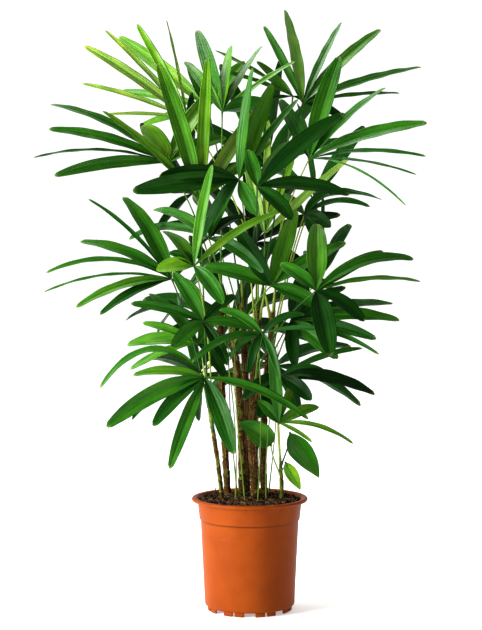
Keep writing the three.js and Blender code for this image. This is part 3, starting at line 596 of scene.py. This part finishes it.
def jitterFrom(seed):
    # a repeatable run of numbers between -1 and 1: the seed times 16807, modulo 2^31 - 1
    modulus = 2 ** 31 - 1
    while True:
        seed = seed * 16807 % modulus
        yield seed / modulus * 2 - 1


def measured(pointAt):
    # the same curve by share of its length, from a table of 200 chords, and its length
    knots = np.linspace(0, 1, 201)
    lengths = lengthsAlong(pointAt(knots))
    return (lambda share: pointAt(np.interp(np.atleast_1d(share) * lengths[-1], lengths, knots)),
            lengths[-1])


def splineThrough(route):
    # centripetal Catmull-Rom: knots spaced by the square root of the distance, cubic between them
    route = np.array(route, float)
    spans = len(route) - 1
    full = np.vstack([2 * route[0] - route[1], route, 2 * route[-1] - route[-2]])

    def pointAt(t):
        part = np.minimum((t * spans).astype(int), spans - 1)
        w = (t * spans - part)[:, None]
        p0, p1, p2, p3 = (full[part + i] for i in range(4))
        d0, d1, d2 = (((b - a) ** 2).sum(1, keepdims=True) ** 0.25
                      for a, b in ((p0, p1), (p1, p2), (p2, p3)))
        t1 = ((p1 - p0) / d0 - (p2 - p0) / (d0 + d1) + (p2 - p1) / d1) * d1
        t2 = ((p2 - p1) / d1 - (p3 - p1) / (d1 + d2) + (p3 - p2) / d2) * d1
        return (p1 + t1 * w + (3 * (p2 - p1) - 2 * t1 - t2) * w ** 2
                + (2 * (p1 - p2) + t1 + t2) * w ** 3)

    return measured(pointAt)


def caneRadius(cane, share):
    return between(cane["foot"], cane["tip"], share)


kept = dict(spots=np.empty((0, 3)), radii=np.empty(0), owners=np.empty(0, int))


def keep(spots, radii, owner):
    # remembers the room that something takes, as a row of balls
    for key, value in (("spots", spots), ("radii", radii), ("owners", [owner] * len(spots))):
        kept[key] = np.concatenate([kept[key], value])


def isClear(spots, radii, space, *mine):
    # every ball clears the kept balls of all but the named owners by the given room
    reach = kept["radii"].max() + radii.max() + space
    near = (kept["spots"] > spots.min(0) - reach) & (kept["spots"] < spots.max(0) + reach)
    near = near.all(1) & ~np.isin(kept["owners"], mine)
    if not near.any():
        return True
    apart = np.linalg.norm(spots[:, None] - kept["spots"][near], axis=2)
    return bool((apart >= radii[:, None] + kept["radii"][near] + space).all())


def placePetiole(cane, hub, drop, owner):
    # the curve of a petiole, tried at several places down and round its cane until it is clear
    bends = [petiole["stray"], petiole["stray"], petiole["climb"]]
    for slide in petiole["slides"]:
        for swing in petiole["swings"]:
            share = 1 - (drop + slide) / cane["length"]
            axis = cane["at"](share)[0]
            bearing = math.atan2(hub[1] - axis[1], hub[0] - axis[0]) + swing
            outward = np.array([math.cos(bearing), math.sin(bearing), 0])
            off = max(caneRadius(cane, share) + room["gap"] - petiole["radius"], 0)
            start = axis + outward * off
            knee = start + (hub - start) * bends + outward * petiole["lift"]
            curve, _ = measured(lambda t: quadratic(start, knee, hub, t[:, None]))
            spots = curve(np.linspace(0, 1, room["spots"] + 1))
            radii = np.full(len(spots), float(petiole["radius"]))
            root = int(petiole["rooted"] * len(spots))
            if (isClear(spots[:root], radii[:root], room["petiole"], owner, cane["owner"])
                    and isClear(spots[root:], radii[root:], room["petiole"], owner)):
                keep(spots, radii, owner)
                return curve
    raise ValueError("no clear way to a hub")


def bladeLine(hub, aim, normal, shape, count):
    # middle line of a blade: the heading aim, tipped up at the root and down at the tip by the
    # same sag; the point advances by unit(aim + up sag (1/2 - s)), and the section rolls and twists
    share = np.linspace(0, 1, count + 1)[:, None]
    along = unit(aim + upward * shape["sag"] * (0.5 - share))
    steps = unit(aim + upward * shape["sag"] * (0.5 - share[:-1] - 0.5 / count))
    steps = steps * shape["length"] / count
    points = hub + np.concatenate([np.zeros((1, 3)), np.cumsum(steps, axis=0)])
    across = unit(np.cross(along, normal))
    angle = shape["roll"] + shape["twist"] * share
    side = across * np.cos(angle) + np.cross(across, along) * np.sin(angle)
    return points, side, np.cross(side, along)


def bladeWidth(share, width, form):
    # narrow at the hub, full about the middle, blunt at the tip:
    # hub + (W - hub) sin(s/full)^swell (1 - (1 - tip) past^round)
    swell = np.sin(np.minimum(share / form["fullAt"], 1) * np.pi / 2) ** form["swell"]
    past = np.maximum(share - form["fullAt"], 0) / (1 - form["fullAt"])
    drawnIn = 1 - (1 - form["tipShare"]) * past ** form["tipRound"]
    return form["hubWidth"] + (width - form["hubWidth"]) * swell * drawnIn


def turnedAbout(vector, angle):
    # turned about the vertical
    x, y, z = vector
    c, s = math.cos(angle), math.sin(angle)
    return np.array([x * c - y * s, x * s + y * c, z])


def placeBlade(frond, heading, shape):
    # the aim and the plane of a blade, turned and leant a little until it is clear, or nothing
    view = math.radians(frond["turn"])
    leanRight, leanUp = frond["lean"]
    normal = turnedAbout(unit(np.array([leanRight, -1.0, leanUp])), view)
    share = np.linspace(0, 1, room["along"] + 1)
    reach = bladeWidth(share, shape["width"], blade)[:, None, None] / 2
    place = np.linspace(-1, 1, room["across"])[None, :, None]
    radii = np.repeat(np.where(share < room["root"], -room["rootEase"], 0.0), room["across"])
    for turn in blade["turns"]:
        for lean in blade["leans"]:
            angle = math.radians(heading + turn)
            right, up = math.sin(angle), math.cos(angle)
            aim = np.array([right, leanRight * right + leanUp * up + lean, up])
            aim = turnedAbout(unit(aim), view)
            points, side, face = bladeLine(frond["hub"], aim, normal, shape, room["along"])
            folded = face[:, None] * abs(place) * reach * blade["fold"]
            spots = (points[:, None] + side[:, None] * place * reach + folded).reshape(-1, 3)
            if isClear(spots, radii, room["blade"], frond["owner"]):
                keep(spots, radii, frond["owner"])
                return aim, normal
    return None


def bladeShape(frond, entry, jitter):
    # a blade's own length, width, sag, roll and twist, each varied a little
    heading, share, wide, slack = entry
    angle = math.radians(heading)
    back = frond["lean"][0] * math.sin(angle) + frond["lean"][1] * math.cos(angle)
    length = frond["reach"] * share * math.hypot(1, back)
    return dict(length=length * (1 + varied["length"] * next(jitter)),
                width=frond["width"] * wide * (1 + varied["width"] * next(jitter)),
                sag=frond["sag"] * slack * (1 + varied["sag"] * next(jitter)),
                roll=varied["roll"] * next(jitter), twist=varied["twist"] * next(jitter))


spotShares = np.linspace(0, 1, room["spots"] + 1)
for owner, cane in enumerate(canes.values()):
    cane["at"], cane["length"] = splineThrough(cane["route"])
    cane["owner"], cane["leaves"] = owner, 0
    keep(cane["at"](spotShares), caneRadius(cane, spotShares), owner)
for number, frond in enumerate(fronds):
    frond.update(node=f"frond_{number + 1:02d}", first=False)
for number, frond in enumerate(youngLeaves):
    frond.update(node=f"young_leaf_{number + 1}", first=True)
leaves = fronds + youngLeaves
for number, frond in enumerate(leaves):
    frond["owner"] = len(canes) + number
    keep(frond["hub"][None], np.array([float(room["hub"])]), frond["owner"])
for frond in leaves:
    cane = canes[frond["cane"]]
    drop = petiole["first"] + cane["apart"] * cane["leaves"]
    cane["leaves"] += 1
    frond["petiole"] = placePetiole(cane, frond["hub"], drop, frond["owner"])
for number, frond in enumerate(leaves):
    jitter = jitterFrom(varied["seedStep"] * (number + 1))
    frond["placed"] = []
    for index, entry in enumerate(frond["blades"]):
        shape = bladeShape(frond, entry, jitter)
        found = placeBlade(frond, entry[0], shape)
        if found:
            frond["placed"].append((index, *found, shape))
print(sum(len(frond["placed"]) for frond in leaves), "blades placed on", len(leaves), "leaves")

# blades

# one leaf green in lighter and darker copies, dealt to each blade for how lit it is: the three
# lightest are painted light, the three darkest (deep, dark, shade) painted shade, and mid lies
# between
tones = dict(  # colour, and how strongly its wax shines
    sunlit=("#82AB42", 0.2), young=("#578C17", 0.2), fresh=("#417A15", 0.18),
    mid=("#2A6511", 0.15), deep=("#194B0C", 0.1), dark=("#0E3707", 0.07), shade=("#062304", 0.05))
finish = dict(
    rows=28, crowding=1.15, steps=48, thickness=0.5, pleat=7.4, pleatDepth=0.6, deepWhere=6,
    foldRoot=0.6, foldMiddle=0.42, foldTip=0.25, rootTo=0.4, tipFrom=0.5, calm=0.12, pastTip=1.02,
    tooth=1.4, rounding=6.0, teethFrom=0.72, ripple=0.7, rippleLength=52,
    rippleByBlade=2.4, rippleByFrond=0.7, rippleBySide=1.2,
    slim=0.92, hubWidth=1.6, swell=0.95, fullAt=0.42, tipShare=0.26, tipRound=2.8,
    ovateEnd=0.03, ovateFull=0.72, ovateRound=0.8, ovateLeast=0.02,
    pale=[1.7, 1.35, 2.0, 1], deeper=[0.55, 0.62, 0.6, 1], yellower=[2.3, 1.4, 1.1, 1],
    dryTip="#A9A868", roughness=(0.34, 0.44),
    # where each colour lies: two values, and how much of it lies at each
    # ribs: partly their own paler green, partly painted highlight
    streaks=(0.3, 0.72), patches=(0.46, 0.7), ribs=(0.03, 0.13, 0.4, 0.0),
    # foot: painted shade towards the hub
    foot=(0.0, 3.2, 0.75, 0.0), tip=(9.5, 10.0, 0.0, 0.2),
    patchy=0.35, patchyFirst=0.8, streakStretch=(1.3, 0.16, 0.0))


def bladeShell(frond, placing):
    # A pleated blade as a closed thin shell. Columns u run from edge to edge, rows s from hub to
    # tip. A point is line(s') + side u w(s') + face (fold |u| w + pleats + ripple +- half the
    # thickness), where pleats are a triangle wave across and s' ends each column at its own tooth
    # of the blunt tip. A first leaf is ovate instead: broad and round at its foot, drawn to a
    # point, W sin(pi s^full)^round. Both walls are split along the same diagonals, or they would
    # cross where a blade twists.
    index, aim, normal, shape = placing
    pleats = max(2, round(shape["width"] / finish["pleat"]))
    u = np.linspace(-1, 1, 4 * pleats + 1)
    s = 1 - (1 - np.linspace(0, 1, finish["rows"])) ** finish["crowding"]
    wave = np.abs((u + 1) / 2 * pleats % 1 * 2 - 1)
    cutBack = (finish["rounding"] * abs(u) ** 3 + finish["tooth"] * (1 - wave)) / shape["length"]
    if frond["first"]:
        cutBack = finish["ovateEnd"] * u ** 2
    share = s[:, None] * (1 - ramp(s, finish["teethFrom"], 1)[:, None] ** 2 * cutBack)
    line = bladeLine(frond["hub"], aim, normal, shape, finish["steps"])
    knots = np.linspace(0, 1, finish["steps"] + 1)
    middle, side, face = (np.stack([np.interp(share, knots, row) for row in part.T], axis=-1)
                          for part in line)
    side, face = unit(side), unit(face)
    width = shape["width"] * frond["slim"].get(index, 1) * finish["slim"]
    reach = bladeWidth(share, width, finish) / 2
    if frond["first"]:
        ovate = np.sin(np.pi * np.clip(share, 0, 1) ** finish["ovateFull"])
        ovate = np.maximum(ovate, finish["ovateLeast"]) ** finish["ovateRound"]
        reach = shape["width"] / 2 * ovate
    body = ramp(share, 0, finish["calm"]) * ramp(share, finish["pastTip"],
                                                 finish["pastTip"] - finish["calm"])
    fold = between(finish["foldMiddle"], finish["foldRoot"], ramp(share, finish["rootTo"], 0))
    fold = between(fold, finish["foldTip"], ramp(share, finish["tipFrom"], 1))
    depth = finish["pleatDepth"] * body * np.minimum(reach / finish["deepWhere"], 1)
    phase = finish["rippleByBlade"] * index + finish["rippleByFrond"] * frond["owner"]
    phase = phase + finish["rippleBySide"] * np.sign(u)
    ripple = np.sin(share * shape["length"] * 2 * np.pi / finish["rippleLength"] + phase)
    height = fold * abs(u) * reach + depth * (wave - 0.5)
    height = height + finish["ripple"] * ripple * u ** 2 * body
    half = finish["thickness"] / 2 * np.sqrt(np.clip(1 - u ** 2, 0, 1))
    flat = middle + side * (u * reach)[..., None]
    upper = flat + face * (height + half)[..., None]
    lower = flat + face * (height - half)[..., None]
    points = np.concatenate([upper, lower[:, -2:0:-1]], axis=1)
    across = np.broadcast_to((u + 1) / 2 * pleats, share.shape)
    uv = np.stack([across, share * 10], axis=-1)
    uv = np.concatenate([uv, uv[:, -2:0:-1]], axis=1)
    size, edge, last = points.shape[1], len(u) - 1, (len(s) - 1) * points.shape[1]
    j = np.arange(1, edge - 1)
    below = size - j
    root = np.stack([j, below, below - 1, j + 1], axis=-1)
    tip = np.stack([j, j + 1, below - 1, below], axis=-1) + last
    closing = np.array([[0, size - 1, 1], [edge, edge - 1, edge + 1]])
    ends = np.concatenate([closing, closing[:, ::-1] + last])
    corners = gridFaces(len(s), size)
    above = np.tile(np.arange(size) < edge, len(s) - 1)
    halves = [corners[above][:, [0, 1, 2]], corners[above][:, [0, 2, 3]],
              corners[~above][:, [0, 1, 3]], corners[~above][:, [1, 2, 3]]]
    return points.reshape(-1, 3), [*halves, root, tip, ends], uv.reshape(-1, 2)


def waxyLeaf(name, shade, shine, patchy):
    # Living palm leaf: a clear green under a thin wax that gives a soft satin shine, paler ribs
    # along the folds, partly their own paler green and partly painted highlight, long soft streaks,
    # faint yellower patches some 6 cm long that are stronger on a first leaf, painted shade at the
    # foot where it is folded tight, and a slightly dry tip.
    # UV counts the folds across and tenths of the length along. Veins are too fine to show, so the
    # bump is only the slow unevenness of the blade, 14 mm from crest to crest.
    material, tree = newMaterial(name)
    uv = addNode(tree, "UVMap", uv_map="UVMap")
    folds, tenths = addNode(tree, "SeparateXYZ", {"Vector": uv}).node.outputs[:2]
    place = addNode(tree, "TexCoord", out="Object")
    base = np.array(linear(shade))
    pale, deeper, yellower = (tuple(np.minimum(base * finish[key], 1))
                              for key in ("pale", "deeper", "yellower"))
    drawnOut = addNode(tree, "VectorMath", {0: uv, 1: finish["streakStretch"]},
                       operation="MULTIPLY")
    streaks = addNode(tree, "TexNoise", {"Vector": drawnOut, "Scale": 2.0, "Detail": 1.0})
    cloud = addNode(tree, "TexNoise", {"Vector": place, "Scale": 17.0, "Detail": 2.0})
    fromFold = addNode(tree, "Math", {0: folds, 1: 0.5}, operation="PINGPONG")
    colour = layOver(tree, deeper, tuple(base), streaks, finish["streaks"])
    colour = layOver(tree, colour, yellower, cloud, (*finish["patches"], 0.0, patchy))
    # paler ribs: the ribs' own paler green, and painted highlight along the folds
    colour = layOver(tree, colour, pale, fromFold, finish["ribs"])
    # painted shade at the foot of each blade, darker towards the hub
    colour = layOver(tree, colour, deeper, tenths, finish["foot"])
    colour = layOver(tree, colour, linear(finish["dryTip"]), tenths, finish["tip"])
    uneven = addNode(tree, "TexNoise", {"Vector": place, "Scale": 70.0, "Detail": 1.0})
    relief = addNode(tree, "Bump", {"Height": uneven, "Distance": 0.0016, "Strength": 0.35})
    wax = addNode(tree, "MapRange", {"Value": streaks, **span(0.3, 0.8, *finish["roughness"])})
    shader = addNode(tree, "BsdfPrincipled", {
        "Base Color": colour, "Roughness": wax, "Normal": relief, "IOR": 1.45,
        "Specular IOR Level": shine})
    addNode(tree, "OutputMaterial", {"Surface": shader})
    return material


shellsOf, nodesOf = {}, {}
for frond in leaves:
    for placing in frond["placed"]:
        kind = frond["first"], frond["odd"].get(placing[0], frond["tone"])
        shellsOf.setdefault(kind, []).append(bladeShell(frond, placing))
        nodesOf.setdefault(kind, set()).add(frond["node"])
for (first, tone), shells in shellsOf.items():
    name = "first" + tone.capitalize() if first else tone
    patchy = finish["patchyFirst"] if first else finish["patchy"]
    material = waxyLeaf(f"waxy_{name}", *tones[tone], patchy)
    triangles = sum(len(block) * (block.shape[1] - 2) for shell in shells for block in shell[1])
    parts = math.ceil(triangles / 180000)  # each piece kept under about 180,000 triangles; no piece may come near 200,000
    size = math.ceil(len(shells) / parts)
    for part in range(parts):
        makePiece(f"blades_{name}_{part + 1}", shells[part * size:(part + 1) * size], material,
                  sorted(nodesOf[first, tone]))

# petioles and hubs

stalk = dict(
    radius=1.6, tip=1.2, base=3.1, sheath=0.2, sheathRound=1.5, headFrom=0.96, head=0.5,
    around=8, along=34, uvScale=0.003,
    knob=2.7, knobSquat=0.8, knobLong=2.3, knobRound=0.6, knobBelow=0.62, knobLeast=0.02,
    knobSteps=9, knobAround=10, knobUvScale=0.05,
    # the dark petioles are painted shade, a shaded copy of the green ones
    greens=[("Dark", "#12300C", "#2C5A14"), ("Green", "#2C5C12", "#5C8420"),
            ("Straw", "#5E7E1E", "#949C3E")],
    scar=("#4A4420", "#3E6418"))


def greenStalk(name, first, second):
    # Smooth living stalk: satin green running to straw, with fine lengthwise streaks.
    material, tree = newMaterial(name)
    along = addNode(tree, "UVMap", uv_map="UVMap")
    streaks = addNode(tree, "TexNoise", {"Vector": along, "Scale": 9.0, "Detail": 2.0})
    colour = layOver(tree, linear(first), linear(second), streaks, (0.35, 0.7))
    relief = addNode(tree, "Bump", {"Height": streaks, "Distance": 0.0002, "Strength": 0.4})
    shader = addNode(tree, "BsdfPrincipled", {
        "Base Color": colour, "Roughness": 0.4, "Normal": relief, "Specular IOR Level": 0.12})
    addNode(tree, "OutputMaterial", {"Surface": shader})
    return material


def stalkTube(frond):
    # a petiole: thicker where it clasps the cane, even along its length, a little wider at its hub
    t = np.linspace(0, 1, stalk["along"])
    clasp = ramp(t, stalk["sheath"], 0) ** stalk["sheathRound"]
    radii = between(stalk["radius"], stalk["tip"], t) + (stalk["base"] - stalk["radius"]) * clasp
    radii = radii + stalk["head"] * ramp(t, stalk["headFrom"], 1)
    return tube(frond["petiole"](t), radii, stalk["around"], stalk["uvScale"])


def knob(frond):
    # the scar where blades meet: a small ball drawn out along its petiole, r = R sin(pi s)^round
    before, end = frond["petiole"](np.array([0.985, 1]))
    s = np.linspace(0, 1, stalk["knobSteps"])
    run = ((s - stalk["knobBelow"]) * stalk["knobLong"] * stalk["knob"])[:, None]
    ball = np.maximum(np.sin(np.pi * s), stalk["knobLeast"]) ** stalk["knobRound"]
    return tube(frond["hub"] + unit(end - before) * run, stalk["knob"] * stalk["knobSquat"] * ball,
                stalk["knobAround"], stalk["knobUvScale"])


allNodes = [frond["node"] for frond in leaves]
# every third leaf from the first gets the dark petiole of painted shade
for third, (name, first, second) in enumerate(stalk["greens"]):
    makePiece(f"petioles{name}", [stalkTube(frond) for frond in leaves[third::3]],
              greenStalk(f"{name.lower()}Stalk", first, second), allNodes[third::3])
makePiece("hubScars", [knob(frond) for frond in leaves], greenStalk("hubScar", *stalk["scar"]),
          allNodes)

# cane sheaths

sheath = dict(
    around=44, rowEvery=1.5, core=0.94, pitch=27, wander=0.18, slant=0.22, nodeTurn=2.1,
    overlap=1.5, overlapOn=7, fibre=0.4, weave=7, weaveRise=0.55, flare=1.25, flareHeight=(19, 5),
    shaft=60, shaftTip=0.45, shaftRound=1.4,
    brown="#1B0F03", tan="#76521E", green="#3A5412", straw="#827E2E", thread="#080401",
    husk=(0.42, 0.72), stem=(0.3, 0.75), bare=(0.6, 0.72), barer=0.42, barerLow=0.22,
    living=(5.5, 3), strandStretch=(5.0, 1.0, 0.0), cloudStretch=(1.0, 0.22, 0.0),
    edge=(0.86, 0.97, 0.0, 0.85), worn=(0.8, 0.45))
rolled = dict(
    length=78, radius=2.3, foot=0.96, full=0.3, least=0.06, steps=14, around=9, uvScale=0.02,
    colours=("#6E8A2C", "#A3A84C"))


def caneShell(cane):
    # A cane in worn leaf sheaths: r(s) = cane radius + overlap saw(height / pitch + slant)^2 +
    # crossing fibre ridges |sin|, a slight flare where it enters the soil, and a taper at its top.
    share = np.linspace(0, 1, int(cane["length"] / sheath["rowEvery"]))
    line = cane["at"](share)
    along = unit(np.gradient(line, axis=0))
    side = unit(np.cross(np.array([[0.0, 1.0, 0.0]]), along))
    angle = fullTurn(sheath["around"])[None]
    height = (share * cane["length"])[:, None]
    node = np.floor(height / sheath["pitch"] + sheath["wander"] * np.sin(angle + cane["owner"]))
    slant = sheath["slant"] * np.sin(angle + sheath["nodeTurn"] * node + cane["owner"])
    saw = (height / sheath["pitch"] + slant) % 1
    weave = sum(np.abs(np.sin(angle * sheath["weave"] + way * height * sheath["weaveRise"]))
                for way in (1, -1))
    radius = caneRadius(cane, share)[:, None] * sheath["core"]
    radius = radius + sheath["overlap"] * saw ** 2 * (cane["foot"] / sheath["overlapOn"])
    radius = radius + sheath["fibre"] * (weave - 1)
    radius = radius + sheath["flare"] * ramp(height, *sheath["flareHeight"]) ** 2
    upper = ramp(cane["length"] - height, sheath["shaft"], 0) ** sheath["shaftRound"]
    points, faces = sweep(line, side, np.cross(along, side),
                          radius * between(1, sheath["shaftTip"], upper), angle)
    uv = closedUv(angle * cane["foot"] / 10, (height + slant * sheath["pitch"]) / 10,
                  cane["length"] / 10)
    return points, faces, uv


def fibrousSheath(name, green, length):
    # Lady palm cane: a green stem bound in brown, net-like leaf sheaths that fray to dark threads,
    # and a yellow-green shaft of living leaf bases at its top. UV is centimetres round and along.
    material, tree = newMaterial(name)
    uv = addNode(tree, "UVMap", uv_map="UVMap")
    height = addNode(tree, "SeparateXYZ", {"Vector": uv}, out="Y")
    bases = addNode(tree, "Math", {0: height, 1: sheath["pitch"] / 10}, operation="DIVIDE")
    saw = addNode(tree, "Math", {0: bases}, operation="FRACT")
    long = addNode(tree, "VectorMath", {0: uv, 1: sheath["strandStretch"]},
                   operation="MULTIPLY")
    strands = addNode(tree, "TexNoise", {"Vector": long, "Scale": 2.2, "Detail": 4.0,
                                         "Roughness": 0.65})
    drawnOut = addNode(tree, "VectorMath", {0: uv, 1: sheath["cloudStretch"]},
                       operation="MULTIPLY")
    cloud = addNode(tree, "TexNoise", {"Vector": drawnOut, "Scale": 1.4, "Detail": 2.0})
    husk = layOver(tree, linear(sheath["brown"]), linear(sheath["tan"]), strands, sheath["husk"])
    stem = layOver(tree, linear(sheath["green"]), linear(sheath["straw"]), strands,
                   sheath["stem"])
    lowered = addNode(tree, "Math", {0: saw, 1: -sheath["barerLow"], 2: cloud},
                      operation="MULTIPLY_ADD")
    limits = [limit - sheath["barer"] * green for limit in sheath["bare"]]
    bare = addNode(tree, "MapRange", {"Value": lowered, **span(*limits)})
    limits = [length / 10 - down for down in sheath["living"]]
    shaft = addNode(tree, "MapRange", {"Value": height, **span(*limits)})
    living = addNode(tree, "Math", {0: bare, 1: shaft}, operation="MAXIMUM")
    colour = addNode(tree, "Mix", {0: living, 6: husk, 7: stem}, **mixColours)
    colour = layOver(tree, colour, linear(sheath["thread"]), saw, sheath["edge"])
    worn = addNode(tree, "MapRange", {"Value": living, **span(0.0, 1.0, *sheath["worn"])})
    relief = addNode(tree, "Bump", {"Height": strands, "Distance": 0.0012, "Strength": 0.9})
    shader = addNode(tree, "BsdfPrincipled", {
        "Base Color": colour, "Roughness": worn, "Normal": relief, "Specular IOR Level": 0.08})
    addNode(tree, "OutputMaterial", {"Surface": shader})
    return material


def spear(cane):
    # the newest leaf, still rolled: r = R sin(pi (full + (1 - full) t)), standing in the top of the
    # cane and running on along it
    t = np.linspace(0, 1, rolled["steps"])
    start, end = cane["at"](np.array([rolled["foot"], 1.0]))
    line = start + unit(end - start) * t[:, None] * rolled["length"]
    swell = np.maximum(np.sin(np.pi * between(rolled["full"], 1, t)), rolled["least"])
    return tube(line, rolled["radius"] * swell, rolled["around"], rolled["uvScale"])


for name, cane in canes.items():
    makePiece(f"caneSheaths_{name}", [caneShell(cane)],
              fibrousSheath(f"fibrousSheath_{name}", cane["green"], cane["length"]),
              [f"cane_{name}"])
caneNodes = [f"cane_{name}" for name in canes]
makePiece("spears", [spear(cane) for cane in canes.values()],
          greenStalk("rolledLeaf", *rolled["colours"]), caneNodes)

# Young shoots that stand in the compost among the canes, each still one rolled leaf: foot and head
# beside the pot's axis, head's height.
shoots = dict(
    lines=[(-8, -34, -28, -60, 545), (14, -34, 10, -66, 560), (30, -16, 54, -44, 455),
           (-26, -20, -46, -52, 500), (-22, 44, -38, 70, 520), (34, 50, 52, 74, 480),
           (6, 44, 10, 60, 560)],
    rooted=8, lean=1.3, bow=7, foot=1.7, footTo=0.3, middle=1.0, tip=0.35, tipFrom=0.72,
    tipRound=1.4, around=7, rows=26, uvScale=0.003, colours=("#2A4A14", "#738A34"))


def shoot(number, entry):
    # line(t) = foot + (head - foot) t^lean + bow sin(pi t) sideways, its radius drawn in to the tip
    footX, footY, headX, headY, headZ = entry
    t = np.linspace(0, 1, shoots["rows"])
    lean = t ** shoots["lean"]
    bow = shoots["bow"] * (1 if number % 2 else -1) * np.sin(np.pi * t)
    low = soilLevel(footX, footY) - shoots["rooted"]
    line = np.stack([between(footX, headX, lean) + bow, between(footY, headY, lean),
                     between(low, headZ, t)], axis=-1)
    radii = between(shoots["middle"], shoots["foot"], ramp(t, shoots["footTo"], 0))
    drawnIn = ramp(t, shoots["tipFrom"], 1) ** shoots["tipRound"]
    return tube(line, between(radii, shoots["tip"], drawnIn), shoots["around"],
                shoots["uvScale"])


makePiece("shoots", [shoot(number, entry) for number, entry in enumerate(shoots["lines"])],
          greenStalk("youngShoot", *shoots["colours"]), [])

thread = dict(
    counts=dict(left=16, leftBack=90, middleLeft=110, middle=230, middleRight=200, back=80,
                young=0),
    kinds=[  # name, seed, share of the counts, radius, two colours
        ("Dark", 40, 1, (0.2, 0.6), ("#0C0603", "#4E3219")),
        ("Tan", 60, 0.4, (0.3, 0.8), ("#5E3E20", "#A88355"))],
    start=(0.12, 0.93), length=(18, 60), swing=1.2, close=0.98, standOff=(0.3, 5.0),
    climb=(0, 6), taper=0.7, steps=7, around=4, uvScale=0.05, crumb=4.0)


def frayedThreads(seed, cane, count, thick):
    # loose sheath threads: tapered tubes that start on the cane, stand off by t^2 and climb by t
    rng = np.random.default_rng(seed)
    t = np.linspace(0, 1, thread["steps"])
    threads = []
    for _ in range(count):
        start, length = rng.uniform(*thread["start"]), rng.uniform(*thread["length"])
        share = np.clip(start + t * length / cane["length"], 0, 1)
        angle = rng.uniform(0, 2 * np.pi) + rng.uniform(-thread["swing"], thread["swing"]) * t
        off = caneRadius(cane, share) * thread["close"] + rng.uniform(*thread["standOff"]) * t ** 2
        climb = rng.uniform(*thread["climb"]) * t
        line = cane["at"](share) + np.stack([np.cos(angle) * off, np.sin(angle) * off, climb], -1)
        radii = rng.uniform(*thick) * (1 - thread["taper"] * t)
        threads.append(tube(line, radii, thread["around"], thread["uvScale"]))
    return threads


for kind, seed, share, thick, colours in thread["kinds"]:
    loose = [strand for number, (name, count) in enumerate(thread["counts"].items())
             for strand in frayedThreads(seed + number, canes[name], int(count * share), thick)]
    makePiece(f"sheathThreads{kind}", loose,
              compost(f"frayedThread{kind}", *colours, thread["crumb"]), caneNodes)
print("crown made")

# floor, light and camera

stage = dict(tones=("#F2F2F0", "#F4F4F2"), size=60.0, glow=0.37)
floorMesh = bpy.data.meshes.new("floor")
half = stage["size"] / 2
floorMesh.from_pydata([(-half, -half, 0), (half, -half, 0), (half, half, 0), (-half, half, 0)], [],
                      [(0, 1, 2, 3)])
floor = bpy.data.objects.new("floor", floorMesh)
bpy.context.scene.collection.objects.link(floor)
# A sheet of white acrylic lit from below: matt, nearly even, and faintly glowing.
floorPaint, tree = newMaterial("backlitAcrylic")
place = addNode(tree, "TexCoord", out="Object")
mottle = addNode(tree, "TexNoise", {"Vector": place, "Scale": 3.0, "Detail": 2.0})
paint = addNode(tree, "Mix", {0: mottle, 6: linear(stage["tones"][0]),
                              7: linear(stage["tones"][1])}, **mixColours)
shader = addNode(tree, "BsdfPrincipled", {
    "Base Color": paint, "Roughness": 0.9, "Emission Color": (1, 1, 1, 1),
    "Emission Strength": stage["glow"]})
addNode(tree, "OutputMaterial", {"Surface": shader})
floorMesh.materials.append(floorPaint)

# The surround is white behind and beside the plant, brightest overhead, and dim in front of it to
# the right, as between a lit backdrop and an unlit room, so that leaves keep their depth. Each is
# two values of a direction, and the light at each.
surround = dict(sideways=-0.4, walls=(-0.35, 0.35, 0.03, 1.04), overhead=(0.25, 0.85, 0.0, 0.2),
                skirt=(0.16, 0.28, 0.62, 0.0))
world = bpy.data.worlds.new("studio")
bpy.context.scene.world = world
world.use_nodes = True
tree = world.node_tree
tree.nodes.clear()
direction = addNode(tree, "TexCoord", out="Generated")
x, y, z = addNode(tree, "SeparateXYZ", {"Vector": direction}).node.outputs
sideways = addNode(tree, "Math", {0: x, 1: surround["sideways"], 2: y}, operation="MULTIPLY_ADD")
walls = addNode(tree, "MapRange", {"Value": sideways, **span(*surround["walls"])})
overhead = addNode(tree, "MapRange", {"Value": z, **span(*surround["overhead"])})
skirt = addNode(tree, "MapRange", {"Value": z, **span(*surround["skirt"])})
lower = addNode(tree, "Math", {0: walls, 1: skirt}, operation="MAXIMUM")
level = addNode(tree, "Math", {0: lower, 1: overhead}, operation="ADD")
background = addNode(tree, "Background", {"Color": (1, 1, 1, 1), "Strength": level})
addNode(tree, "OutputWorld", {"Surface": background})

lamps = [  # name, place in metres from the pot's axis, aim, width, height, watts
    ("softboxLeft", (-2.3, -1.35, 0.95), (0, 0, 0.5), 1.1, 1.5, 165.0),
    ("softboxAbove", (-0.6, 0.7, 2.6), (0, 0, 0.6), 1.2, 1.2, 48.0)]
for name, place, aim, width, height, watts in lamps:
    lamp = bpy.data.lights.new(name, "AREA")
    lamp.shape = "RECTANGLE"
    lamp.size, lamp.size_y, lamp.energy = width, height, watts
    holder = bpy.data.objects.new(name, lamp)
    holder.location = np.array(place) + potAxis
    toward = Vector(np.array(aim) - np.array(place))
    holder.rotation_euler = toward.to_track_quat("-Z", "Y").to_euler()
    bpy.context.scene.collection.objects.link(holder)

# millimetres, metres from the pot's axis and from the floor, and degrees down
camera = dict(lens=110.3, sensor=36, right=-0.0157, back=-3.45, height=0.778, down=4.07)
lens = bpy.data.cameras.new("camera")
lens.lens, lens.sensor_width = camera["lens"], camera["sensor"]
lens.clip_start, lens.clip_end = 0.1, 200
viewer = bpy.data.objects.new("camera", lens)
viewer.location = potAxis + np.array([camera["right"], camera["back"], camera["height"]])
viewer.rotation_euler = (math.radians(90 - camera["down"]), 0, 0)
bpy.context.scene.collection.objects.link(viewer)
bpy.context.scene.camera = viewer
viewTone = dict(gamma=0.91, exposure=0.13)  # a slightly harder print, with white kept white
view = bpy.context.scene.view_settings
view.view_transform = "Standard"
view.gamma, view.exposure = viewTone["gamma"], viewTone["exposure"]
